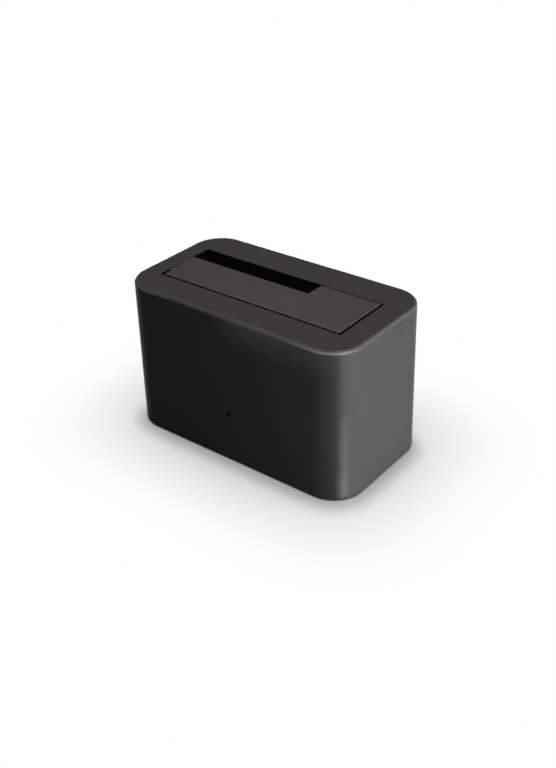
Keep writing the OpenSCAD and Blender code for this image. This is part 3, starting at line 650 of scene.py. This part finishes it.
finishes = {
    "housing_plastic": surface(
        "satin_black_plastic", tone(42, 41.4, 41.7), roughness=0.26,
        grain=0.4, depth=0.012, strength=0.35, vary=0.04, shine=0.011, painted_light=HOUSING_PAINTED_LIGHT),
    "flap_plastic": surface(
        "satin_charcoal_plastic", tone(51.5, 49.6, 50.1), roughness=0.28,
        grain=0.4, depth=0.012, strength=0.35, vary=0.04, shine=0.010, painted_light=FLAP_PAINTED_LIGHT),
    "bay_plastic": surface(
        "matt_black_plastic", tone(10, 9, 9.5), roughness=0.6,
        grain=0.5, depth=0.02, strength=0.4, vary=0.08, shine=0.04),
    "base_plastic": surface(
        "grained_black_plastic", tone(36, 35, 35.5), roughness=0.58,
        grain=0.7, depth=0.04, strength=0.6, vary=0.06, shine=0.2),
    "button_plastic": surface(
        "polished_black_plastic", tone(30, 29, 29.5), roughness=0.3,
        grain=0.5, depth=0.006, strength=0.3, vary=0.04, shine=0.35),
    "pipe_clear": smoked_rod("clear_plastic"),
    "screw_steel": drawn_metal("zinc_plated_steel", tone(170, 172, 176), roughness=0.34, along="Z"),
    "pin_steel": drawn_metal("ground_steel", tone(132, 134, 138), roughness=0.3, along="X"),
    "spring_steel": drawn_metal("spring_wire", tone(150, 151, 155), roughness=0.3, along="Y"),
    "port_steel": drawn_metal("tinned_sheet", TIN, roughness=0.32, along="Y"),
    "can_steel": drawn_metal("pressed_can", STEEL, roughness=0.3, along="X"),
    "can_aluminium": two_part("can_on_foot", height=9.6, low=(EPOXY, 0.0), high=(CAN, 1.0), roughness=0.35),
    "contact_gold": surface(
        "gold_plating", tone(222, 178, 92), roughness=0.25,
        grain=0.3, depth=0.002, strength=0.3, vary=0.1, metal=1.0),
    "foot_rubber": surface(
        "black_rubber", tone(22, 22, 22.5), roughness=0.82,
        grain=0.6, depth=0.05, strength=0.7, vary=0.12, shine=0.25),
    "board_laminate": laminate("green_laminate"),
    "connector_plastic": surface(
        "glass_filled_black", tone(20, 20, 21), roughness=0.5,
        grain=0.25, depth=0.01, strength=0.4, vary=0.1, shine=0.3),
    "tongue_plastic": surface(
        "blue_insert", tone(30, 74, 148), roughness=0.45,
        grain=0.3, depth=0.008, strength=0.4, vary=0.08, shine=0.4),
    "plunger_plastic": surface(
        "white_acetal", tone(214, 212, 206), roughness=0.4,
        grain=0.4, depth=0.006, strength=0.3, vary=0.04),
    "chip_plastic": two_part("chip_on_leads", height=9.02, low=(TIN, 1.0), high=(EPOXY, 0.0), roughness=0.55),
    "ferrite": two_part(
        "wound_ferrite", height=9.75, low=(FERRITE_FOOT, 0.0), high=(FERRITE, 0.0), roughness=0.6),
    "ceramic": surface(
        "fired_ceramic", tone(168, 142, 106), roughness=0.5,
        grain=0.3, depth=0.008, strength=0.4, vary=0.12),
    "lamp_plastic": surface(
        "lamp_resin", tone(226, 220, 200), roughness=0.3,
        grain=0.5, depth=0.004, strength=0.3, vary=0.05),
}

SLOT_OF_NODE = {
    "upper_housing": "housing_plastic", "flap": "flap_plastic", "light_pipe": "pipe_clear",
    "bay_frame": "bay_plastic", "bay_screws": "screw_steel", "hinge_pin": "pin_steel",
    "flap_springs": "spring_steel", "base_plate": "base_plastic", "base_screws": "screw_steel",
    "rubber_feet": "foot_rubber", "main_board": "board_laminate", "board_screws": "screw_steel",
    "sata_connector": "connector_plastic", "sata_contacts": "contact_gold", "usb_shell": "port_steel",
    "usb_tongue": "tongue_plastic", "usb_contacts": "contact_gold", "jack_body": "connector_plastic",
    "jack_pin": "pin_steel", "jack_contact": "contact_gold", "switch_body": "connector_plastic",
    "switch_spring": "spring_steel", "switch_plunger": "plunger_plastic", "power_button": "button_plastic",
    "bridge_chip": "chip_plastic", "flash_chip": "chip_plastic", "crystal": "can_steel",
    "regulators": "chip_plastic", "inductors": "ferrite", "capacitors": "can_aluminium",
    "ceramic_parts": "ceramic", "status_lamp": "lamp_plastic",
}
for node, slot in SLOT_OF_NODE.items():
    nodes[node].data.materials.clear()
    nodes[node].data.materials.append(finishes[slot])


# Housing


def make_housing():
    """One-piece shell: leaning walls, round corners, a rolled top edge, the mouth, cut-outs and bosses."""
    shell = rounded_plate("housing", TOP_W + 2 * DRAFT, TOP_D + 2 * DRAFT, CORNER + DRAFT, RIM_Z)
    bpy.ops.mesh.duplicate()
    lean_up = (HIGH - EDGE) * MM
    bpy.ops.mesh.inset(thickness=DRAFT * MM, depth=lean_up, use_even_offset=True, use_boundary=True)
    raise_face(EDGE)
    round_edges(lambda p: p.z > TOP_Z - NEAR, EDGE, 8)
    tidy(shell)

    hollow = rounded_plate("hollow", IN_W, IN_D, IN_R, RIM_Z - OVER)
    raise_face(ROOF_Z - RIM_Z + OVER)
    cut(shell, tidy(hollow))
    add_bosses(shell)
    cut_openings(shell)
    roll_openings(shell)
    return shell


def add_bosses(shell):
    """Round bosses in the corners for the base's screws, and square ones under the roof for the bay's."""
    bore_r = BASE_SCREW_R + SEAT_FIT
    for x, y in corners(BOSS_X, -BOSS_Y, BOSS_Y):
        weld(shell, rod("boss", "Z", BASE_TOP, BASE_TOP + BOSS_TALL, BOSS_R, x, y))
        cut(shell, rod("bore", "Z", RIM_Z, BASE_TOP + BASE_SCREW_L, bore_r, x, y, sides=32))
    bore_r = BAY_SCREW_R + SEAT_FIT
    for x, y in corners(TAB_X, TAB_FRONT, TAB_BACK):
        into_wall = OVER if y == TAB_FRONT else 0
        low = (x - TAB_HALF, y - TAB_HALF - into_wall, TAB_Z + TAB_T)
        weld(shell, block("boss", low, (x + TAB_HALF, y + TAB_HALF, ROOF_Z + OVER)))
        cut(shell, rod("bore", "Z", TAB_Z, ROOF_Z - OVER, bore_r, x, y, sides=32))


def cut_openings(shell):
    """The drive mouth, the lamp's hole, and the holes for the inlet, the button and the data port."""
    past = 5 * OVER
    cut(
        shell,
        block("mouth", (MOUTH_L, MOUTH_F, ROOF_Z - past), (MOUTH_R, MOUTH_B, TOP_Z + past)),
        rod("lamp", "Y", -WALL_FAR, -WALL_NEAR, LAMP_HOLE_R, z=LAMP_Z),
        rod("inlet", "Y", WALL_NEAR, WALL_FAR, INLET_R + PORT_GAP, INLET_X, z=INLET_Z),
        rod("button", "Y", WALL_NEAR, WALL_FAR, BUTTON_R + MOVING_GAP, BUTTON_X, z=BUTTON_Z),
        port_tool(),
    )


def port_tool():
    """Cutter for the data port: a wide block with bevelled top corners and a narrower one on it."""
    grow = DATA_WALL + PORT_GAP
    half, upper_half = DATA_W / 2 + grow, DATA_UPPER_W / 2 + grow
    low = BOARD_TOP + DATA_WALL
    high = low + DATA_H
    top = high + DATA_UPPER_H + grow
    tool = block("port", (DATA_X - half, WALL_NEAR, low - grow), (DATA_X + half, WALL_FAR, high + grow))
    open_mesh(tool)
    pick("edges", lambda e: runs_along(e, "Y") and all(p.z > high for p in places(e)))
    bpy.ops.mesh.bevel(offset=DATA_CORNER * MM, offset_type="WIDTH", segments=1)
    close_mesh()
    upper = block("port_top", (DATA_X - upper_half, WALL_NEAR, low), (DATA_X + upper_half, WALL_FAR, top))
    return weld(tool, upper)


def roll_openings(shell):
    """Small rolls on the edges of the mouth, the rear holes, the lamp's hole and the rim."""
    mouth_roll, hole_roll, rim_roll = 0.15, 0.3, 0.2
    outer_y, panel_low, panel_high, panel_half = 36, 5, 26, 45
    around = 2 * LAMP_HOLE_R
    open_mesh(shell)
    round_edges(lambda p: p.z > TOP_Z - NEAR and in_mouth(p), mouth_roll)
    round_edges(lambda p: p.y > outer_y and panel_low < p.z < panel_high and abs(p.x) < panel_half, hole_roll)
    round_edges(lambda p: p.y < -outer_y and abs(p.x) < around and abs(p.z - LAMP_Z) < around, hole_roll)
    round_edges(lambda p: p.z < RIM_Z + NEAR, rim_roll, 2)
    close_mesh()


def in_mouth(p):
    """True where a corner lies within the mouth or on its edge, seen from above."""
    beside = 0.1
    return MOUTH_L - beside < p.x < MOUTH_R + beside and MOUTH_F - beside < p.y < MOUTH_B + beside


# Flap


def make_flap():
    """Notched lid with rolled edges, its four knuckles, its heels and the ribs under it."""
    relief_d, relief_low = 5, 70
    corner_roll, top_roll = 0.4, 0.32
    lid = block("flap_lid", (FLAP_L, LID_F, FLAP_UNDER), (LID_R, FLAP_B, TOP_Z))
    relief_end = (FLAP_L + KNUCKLE_IN, FLAP_F + relief_d, TOP_Z + OVER)
    cut(
        lid,
        block("slot", (FLAP_L - OVER, SLOT_F, FLAP_UNDER - OVER), (SLOT_R, FLAP_B + OVER, TOP_Z + OVER)),
        block("relief", (FLAP_L - OVER, FLAP_F - OVER, relief_low), relief_end),
    )
    open_mesh(lid)
    pick("edges", lambda e: sharp(e) and runs_along(e, "Z"))
    bpy.ops.mesh.bevel(offset=corner_roll * MM, segments=4, profile=0.5)
    round_edges(lambda p: p.z > TOP_Z - NEAR, top_roll, 4)
    close_mesh()
    add_knuckles(lid)
    add_ribs(lid)
    left, right = FLAP_L - OVER, FLAP_R + OVER
    return cut(lid, rod("pin_bore", "X", left, right, PIN_BORE_R, y=HINGE_Y, z=HINGE_Z, sides=32))


def add_knuckles(lid):
    """Knuckles on webs along the hinge, and the heels that meet the bay's stops."""
    heel_back, heel_t, heel_h, heel_w = 0.4, 1.1, 4.3, 2
    for x in KNUCKLES:
        weld(lid, rod("knuckle", "X", x, x + KNUCKLE_W, KNUCKLE_R, y=HINGE_Y, z=HINGE_Z))
        weld(lid, block("web", (x, FLAP_F, HINGE_Z), (x + KNUCKLE_W, HINGE_Y + KNUCKLE_R, FLAP_UNDER + SINK)))
    heel_face = HINGE_Y - heel_back
    for x in (FLAP_L + KNUCKLE_IN, FLAP_R - KNUCKLE_IN - heel_w):
        weld(lid, block("heel", (x, heel_face - heel_t, HINGE_Z - heel_h), (x + heel_w, heel_face, HINGE_Z)))


def add_ribs(lid):
    """A rib under the lid along each of its free edges."""
    rib_h, from_hinge = 1.5, 6
    out, into = 1, 2.2
    low, front = FLAP_UNDER - rib_h, HINGE_Y + from_hinge
    ribs = (
        (FLAP_L + out, front, FLAP_L + into, SLOT_F - out),
        (FLAP_R - into, front, FLAP_R - out, FLAP_B - out),
        (FLAP_L + out, SLOT_F - into, SLOT_R + into, SLOT_F - out),
        (SLOT_R + out, SLOT_F - into, SLOT_R + into, FLAP_B - out),
        (SLOT_R + out, FLAP_B - into, FLAP_R - out, FLAP_B - out),
    )
    for left, rib_front, right, rib_back in ribs:
        weld(lid, block("rib", (left, rib_front, low), (right, rib_back, FLAP_UNDER + SINK)))


# Base, feet and screws


def make_base():
    """Closing plate with its foot recesses, sunk screw seats and board posts."""
    post_sink, foot_fit, rim_roll = 1.2, 0.05, 0.2
    below = RIM_Z - OVER
    plate = rounded_plate("base", IN_W - 2 * BASE_FIT, IN_D - 2 * BASE_FIT, IN_R - BASE_FIT, RIM_Z)
    raise_face(BASE_T)
    tidy(plate)
    bore_r = BOARD_SCREW_R + SEAT_FIT
    for x, y in corners(POST_X, POST_FRONT, POST_BACK):
        weld(plate, rod("post", "Z", RIM_Z + post_sink, BOARD_Z, POST_R, x, y, sides=48))
        cut(plate, rod("bore", "Z", BOARD_TOP - BOARD_SCREW_L, BOARD_Z + OVER, bore_r, x, y, sides=32))
    for foot, screw in zip(corners(FOOT_X, -FOOT_Y, FOOT_Y), corners(BOSS_X, -BOSS_Y, BOSS_Y)):
        cut(
            plate,
            rod("foot_seat", "Z", below, RIM_Z + FOOT_SEAT, FOOT_R + foot_fit, *foot),
            rod("hole", "Z", below, BASE_TOP + OVER, BASE_HOLE_R, *screw, sides=32),
            rod("screw_seat", "Z", below, RIM_Z + COUNTERBORE_H, COUNTERBORE_R, *screw, sides=48),
        )
    open_mesh(plate)
    round_edges(lambda p: p.z < RIM_Z + NEAR, rim_roll, 2)
    close_mesh()
    return plate


def make_feet():
    """Four rubber feet with a rolled lower edge and a shallow hollow in the sole."""
    roll, sole_rim, hollow_slope, hollow_deep = 0.4, 1.1, 0.25, 0.15
    foot = rod("foot", "Z", 0, RIM_Z + FOOT_SEAT, FOOT_R, -FOOT_X, -FOOT_Y)
    open_mesh(foot)
    round_edges(lambda p: p.z < NEAR, roll, 4)
    pick_facing("Z", -1)
    bpy.ops.mesh.inset(thickness=sole_rim * MM, depth=0)
    bpy.ops.mesh.inset(thickness=hollow_slope * MM, depth=-hollow_deep * MM)
    close_mesh()
    return four_of(foot, 2 * FOOT_X, 2 * FOOT_Y)


def make_screw(name, x, y, z, way, head_r, head_h, shank_r, shank_l):
    """Screw with a rolled head, a cross and a grooved shank. z is the outer face of its head, way 1 is up."""
    head_roll, tip_share, grooves, groove_in = 0.35, 0.25, 8, 0.86
    head = rod(name, "Z", min(z, z + way * head_h), max(z, z + way * head_h), head_r, x, y, sides=48)
    open_mesh(head)
    round_edges(lambda p: abs(p.z - z) < NEAR, head_h * head_roll, 4)
    pick_facing("Z", way)
    bpy.ops.mesh.inset(thickness=(head_r - shank_r) * MM, depth=0)
    for _ in range(grooves):
        for share in (groove_in, 1 / groove_in):
            raise_face(way * shank_l * 0.5 / grooves)
            bpy.ops.transform.resize(value=(share, share, 1))
    bpy.ops.mesh.bevel(offset=shank_r * tip_share * MM, segments=1)
    close_mesh()
    return cut_cross(head, x, y, z, way, arm=head_r * 0.6, depth=head_h * 0.6)


def cut_cross(head, x, y, z, way, arm, depth):
    """Cuts the cross for the driver, narrower at its bottom."""
    half, taper = 0.25, 0.7
    for wide, deep in ((arm, half), (half, arm)):
        cross = block("cross", (x - wide, y - deep, z - depth), (x + wide, y + deep, z + depth))
        open_mesh(cross)
        pick_facing("Z", way)
        bpy.ops.transform.resize(value=(taper, taper, 1))
        close_mesh()
        cut(head, cross)
    return head


def fit_screws(name, node, x, front, back, z, way, **sizes):
    """Four like screws, left and right, at the front and at the back."""
    screw = make_screw(name, -x, front, z, way, **sizes)
    for piece in four_of(screw, 2 * x, back - front):
        fit(piece, "dock", "screw_steel", node)


# Button, springs and light pipe


def make_button():
    """Round push-button with a rolled rim, a dished face and the flange that keeps it in."""
    roll, seat_in, seat_past, seat_r = 0.4, 1, 3, 1.72
    ring, steps = 0.5, (0.10, 0.09, 0.07, 0.05, 0.03, 0.01)
    back = BACK_IN - MOVING_GAP
    cap = rod("button_cap", "Y", back - FLANGE_T, BUTTON_FACE, BUTTON_R, BUTTON_X, z=BUTTON_Z, sides=96)
    open_mesh(cap)
    round_edges(lambda p: p.y > BUTTON_FACE - NEAR, roll, 5)
    pick_facing("Y")
    for step in steps:
        bpy.ops.mesh.inset(thickness=ring * MM, depth=-step * MM)
    close_mesh()
    weld(cap, rod("flange", "Y", back - FLANGE_T, back, FLANGE_R, BUTTON_X, z=BUTTON_Z, sides=96))
    seat = rod("seat", "Y", back - seat_past, back + seat_in, seat_r, BUTTON_X, z=BUTTON_Z, sides=32)
    return cut(cap, seat)


def flap_spring(mirror):
    """One torsion spring: its coil with the leg against the bay's wall, and the leg that lifts the flap."""
    radius, wire_r, long = 1.7, 0.3, 4.6
    turns, last_part, turn_steps = 4, 30, 28
    from_knuckle, wall_y = 1.4, -21.2
    first = FIRST_KNUCKLE + KNUCKLE_W + from_knuckle
    whole = math.radians(turns * 360 + last_part)
    steps = turns * turn_steps

    def at(x):
        return FLAP_L + FLAP_R - x if mirror else x

    coil = []
    for i in range(-turn_steps // 4, steps + 1):
        angle = math.pi / 2 + whole * i / steps
        x = first + long * max(i, 0) / steps
        coil.append((at(x), HINGE_Y + radius * math.cos(angle), HINGE_Z + radius * math.sin(angle)))
    x, y, z = coil[-1]
    end = math.pi / 2 + whole
    out_y, out_z = -math.sin(end), math.cos(end)
    reach = (wall_y - y) / out_y
    coil.append((x, y + reach * out_y, z + reach * out_z))
    leg = [(at(first), HINGE_Y + along, HINGE_Z + radius) for along in (0, 2, 5, 9)]
    label = "right" if mirror else "left"
    return wire(f"spring_coil_{label}", coil, wire_r), wire(f"spring_leg_{label}", leg, wire_r)


def make_switch_spring():
    """Return spring between the switch's bore and its plunger."""
    radius, wire_r, turns, steps = 1.2, 0.2, 3.5, 96
    low, high = nodes_box("switch_spring")
    middle_x, middle_z = (low.x + high.x) / 2, (low.z + high.z) / 2
    points = []
    for i in range(steps + 1):
        angle = math.tau * turns * i / steps
        y = low.y + wire_r + (high.y - low.y - 2 * wire_r) * i / steps
        points.append((middle_x + radius * math.cos(angle), y, middle_z + radius * math.sin(angle)))
    return wire("return_spring", points, wire_r)


def make_light_pipe():
    """Smoked rod that bends from the lamp up to the hole in the front, with its collar."""
    front, back, bottom, bend, bend_steps = -35.48, -26.25, 10.3, 3.0, 12
    rod_r, collar_r, collar_front, collar_back, roll = 0.95, 1.9, -34.15, -32.95, 0.2
    points = [(0, front, LAMP_Z), (0, back - bend, LAMP_Z)]
    for i in range(1, bend_steps):
        angle = math.pi / 2 * i / bend_steps
        points.append((0, back - bend + bend * math.sin(angle), LAMP_Z - bend + bend * math.cos(angle)))
    points += [(0, back, LAMP_Z - bend), (0, back, bottom)]
    pipe = wire("light_rod", points, rod_r)
    collar = rod("collar", "Y", collar_front, collar_back, collar_r, z=LAMP_Z, sides=48)
    open_mesh(collar)
    round_edges(lambda p: True, roll, 2)
    close_mesh()
    return weld(pipe, collar)


# All pieces on their bodies
fit(make_housing(), "dock", "housing_plastic", "upper_housing")
fit(make_flap(), "flap", "flap_plastic", "flap")
fit(make_base(), "dock", "base_plastic", "base_plate")
for foot in make_feet():
    fit(foot, "dock", "foot_rubber", "rubber_feet")
fit(make_button(), "button", "button_plastic", "power_button")
fit(make_light_pipe(), "dock", "pipe_clear", "light_pipe")
return_spring = make_switch_spring()
fit(return_spring, "dock", "spring_steel", "switch_spring")
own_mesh(return_spring)
for mirror in (False, True):
    coil, leg = flap_spring(mirror)
    fit(coil, "dock", "spring_steel", "flap_springs")
    fit(leg, "flap", "spring_steel", "flap_springs")

fit_screws("base_screw", "base_screws", BOSS_X, -BOSS_Y, BOSS_Y, RIM_Z + COUNTERBORE_H - BASE_HEAD_H, way=1,
           head_r=2.3, head_h=BASE_HEAD_H, shank_r=BASE_SCREW_R, shank_l=BASE_SCREW_L)
fit_screws("bay_screw", "bay_screws", TAB_X, TAB_FRONT, TAB_BACK, TAB_Z - BAY_HEAD_H, way=1,
           head_r=2.0, head_h=BAY_HEAD_H, shank_r=BAY_SCREW_R, shank_l=8.0)
fit_screws("board_screw", "board_screws", POST_X, POST_FRONT, POST_BACK, BOARD_TOP + BOARD_HEAD_H, way=-1,
           head_r=2.4, head_h=BOARD_HEAD_H, shank_r=BOARD_SCREW_R, shank_l=BOARD_SCREW_L)

# Name, solid, slot and rolled edge of the pieces that keep their solids' shapes
MOULDED = (
    ("drive_bay", "bay_frame", "bay_plastic", 0.2),
    ("drive_socket", "sata_connector", "connector_plastic", 0.15),
    ("port_sleeve", "usb_shell", "port_steel", 0.1),
    ("port_tongue", "usb_tongue", "tongue_plastic", 0.12),
    ("inlet_body", "jack_body", "connector_plastic", 0.2),
    ("switch_case", "switch_body", "connector_plastic", 0.2),
)
for name, node, slot, radius in MOULDED:
    fit(softened(name, node, radius), "dock", slot, node)


# Studio


def seen_directly(tree):
    """1 for what the camera sees, straight, mirrored or through clear pieces."""
    path = add(tree, "LightPath")
    total = path.outputs["Is Camera Ray"]
    for key in ("Is Glossy Ray", "Is Transmission Ray"):
        total = number(tree, "MAXIMUM", total, path.outputs[key])
    return total


def mix_to_output(tree, kind, share, first, second):
    """Ends a tree with two shaders, the first at share 0 and the second at 1."""
    both = add(tree, "MixShader")
    for socket, value in zip(both.inputs, (share, first.outputs[0], second.outputs[0])):
        put(tree, socket, value)
    add(tree, kind, Surface=both.outputs[0])


def make_floor():
    """Pale floor that keeps the shadow round the object and goes to white further out."""
    half_x, half_y, fade_starts, fade_ends = 58, 27, 12, 75
    pale, dim = [0.86] * 3, [0.05] * 3
    bare_scene()
    bpy.ops.mesh.primitive_plane_add(size=8)
    floor = named("floor")
    paint = bpy.data.materials.new("pale_floor")
    paint.use_nodes = True
    tree = paint.node_tree
    tree.nodes.clear()
    place = add(tree, "TexCoord").outputs["Object"]
    fade = ramp(tree, beyond_box(tree, place, half_x, half_y), fade_starts, fade_ends)
    white_share = both_of(tree, fade, seen_directly(tree))
    bounced = add(tree, "LightPath").outputs["Is Diffuse Ray"]
    lit = add(tree, "BsdfDiffuse", Color=blend(tree, bounced, pale, dim))
    white = add(tree, "Emission", Color=(1, 1, 1, 1), Strength=1.0)
    mix_to_output(tree, "OutputMaterial", white_share, lit, white)
    floor.data.materials.append(paint)
    return floor


def make_world():
    """White all round where it is seen, and a faint fill light elsewhere."""
    world = bpy.data.worlds.new("studio")
    world.use_nodes = True
    tree = world.node_tree
    tree.nodes.clear()
    fill = add(tree, "Background", Color=(1, 1, 1, 1), Strength=0.04)
    white = add(tree, "Background", Color=(1, 1, 1, 1), Strength=1.0)
    mix_to_output(tree, "OutputWorld", seen_directly(tree), fill, white)
    scene.world = world


def make_camera():
    """Camera at the photograph's angle, for a frame of 556 by 768."""
    yaw, pitch, roll = math.radians(38.7477), math.radians(31.6869), math.radians(-1.6777)
    frame_px, focal_px, sensor = 768, 1034.18, 36
    shift_x, shift_y = -3.766, -22.767
    middle, distance = Vector((0, 0, 0.04)), 0.5246
    back = Vector((math.sin(yaw) * math.cos(pitch), -math.cos(yaw) * math.cos(pitch), math.sin(pitch)))
    right = Vector((math.cos(yaw), math.sin(yaw), 0))
    up = back.cross(right)
    across = math.cos(roll) * right + math.sin(roll) * up
    upward = -math.sin(roll) * right + math.cos(roll) * up
    place = middle + back * distance + (upward * shift_y - across * shift_x) * distance / focal_px
    camera = bpy.data.cameras.new("camera")
    camera.sensor_width = sensor
    camera.lens = focal_px * sensor / frame_px
    eye = bpy.data.objects.new("camera", camera)
    scene.collection.objects.link(eye)
    turn = Matrix((across, upward, back)).transposed().to_4x4()
    eye.matrix_world = Matrix.Translation(place) @ turn
    scene.camera = eye


def lit_group(name, floor, state):
    """What a lamp lights: the floor alone, or all but the floor where it is excluded."""
    group = bpy.data.collections.new(name)
    group.objects.link(floor)
    group.collection_objects[0].light_linking.link_state = state
    return group


def softbox(name, lights, place, aim, size, watts, beam=180, colour=(1, 1, 1)):
    """A flat lamp turned towards a point. A beam under 180 degrees is narrowed as by a grid."""
    lamp = bpy.data.lights.new(name, "AREA")
    lamp.shape = "RECTANGLE"
    lamp.size, lamp.size_y = size
    lamp.energy = watts
    lamp.spread = math.radians(beam)
    lamp.color = colour
    stand = bpy.data.objects.new(name, lamp)
    scene.collection.objects.link(stand)
    stand.location = place
    stand.rotation_euler = (Vector(aim) - Vector(place)).to_track_quat("-Z", "Y").to_euler()
    stand.visible_camera = False
    stand.light_linking.receiver_collection = lights


make_camera()
make_world()
floor = make_floor()
only_floor = lit_group("only_floor", floor, "INCLUDE")
all_but_floor = lit_group("all_but_floor", floor, "EXCLUDE")
WARM = (1, 0.92, 0.945)

# The right side, and the step from dark to light on the front corner
softbox("side_light", all_but_floor, place=(0.25, 0.005, 0.045), aim=(0.067, 0.005, 0.04),
        size=(0.28, 0.07), watts=0.66)
softbox("grid_light", all_but_floor, place=(0.1427, -0.0026, 0.04), aim=(0.0883, 0.0227, 0.04),
        size=(0.12, 0.1), watts=0.11, beam=8)

# The streak on the front corner, brighter at its foot
softbox("foot_light", all_but_floor, place=(0.1, -0.047, 0.024), aim=(0.0637, -0.0301, 0.024),
        size=(0.0035, 0.042), watts=0.0009, beam=8)
softbox("toe_light", all_but_floor, place=(0.1, -0.047, 0.008), aim=(0.0637, -0.0301, 0.008),
        size=(0.0035, 0.014), watts=0.0003, beam=8)

# The front, and the soft light under its top edge
softbox("front_light", all_but_floor, place=(0.2, -0.1, 0.05), aim=(0.05, -0.03, 0.04),
        size=(0.05, 0.05), watts=0.225)
softbox("brow_light", all_but_floor, place=(0.038, -0.1, 0.08), aim=(0.038, -0.0367, 0.08),
        size=(0.075, 0.004), watts=0.0022, beam=26)

# The top and its rolled edges
softbox("top_light", all_but_floor, place=(0.16, -0.13, 0.46), aim=(0, -0.02, 0.08),
        size=(0.04, 0.04), watts=0.9, colour=WARM)
softbox("overhead_light", all_but_floor, place=(0.04, -0.05, 0.28), aim=(0.02, -0.05, 0.08),
        size=(0.05, 0.05), watts=0.33, colour=WARM)
softbox("edge_light", all_but_floor, place=(-0.5, -0.03, 0.9), aim=(0, -0.03, 0.08),
        size=(0.16, 0.3), watts=3.5, colour=WARM)
softbox("rim_light", all_but_floor, place=(0.55, 0.65, 0.5), aim=(0.06, 0, 0.08),
        size=(0.1, 0.2), watts=1.0)

# The back and the left side
softbox("back_light", all_but_floor, place=(-0.26, 0.22, 0.04), aim=(-0.03, 0.01, 0.035),
        size=(0.28, 0.06), watts=1.2)

# The floor with its soft shadow, and the darker one close to the object
softbox("floor_light", only_floor, place=(0, 0, 1.2), aim=(0, 0, 0), size=(2.4, 2.4), watts=24)
softbox("shadow_light", only_floor, place=(-0.03, 0.06, 1.2), aim=(0, 0, 0), size=(0.14, 0.14), watts=4.6)
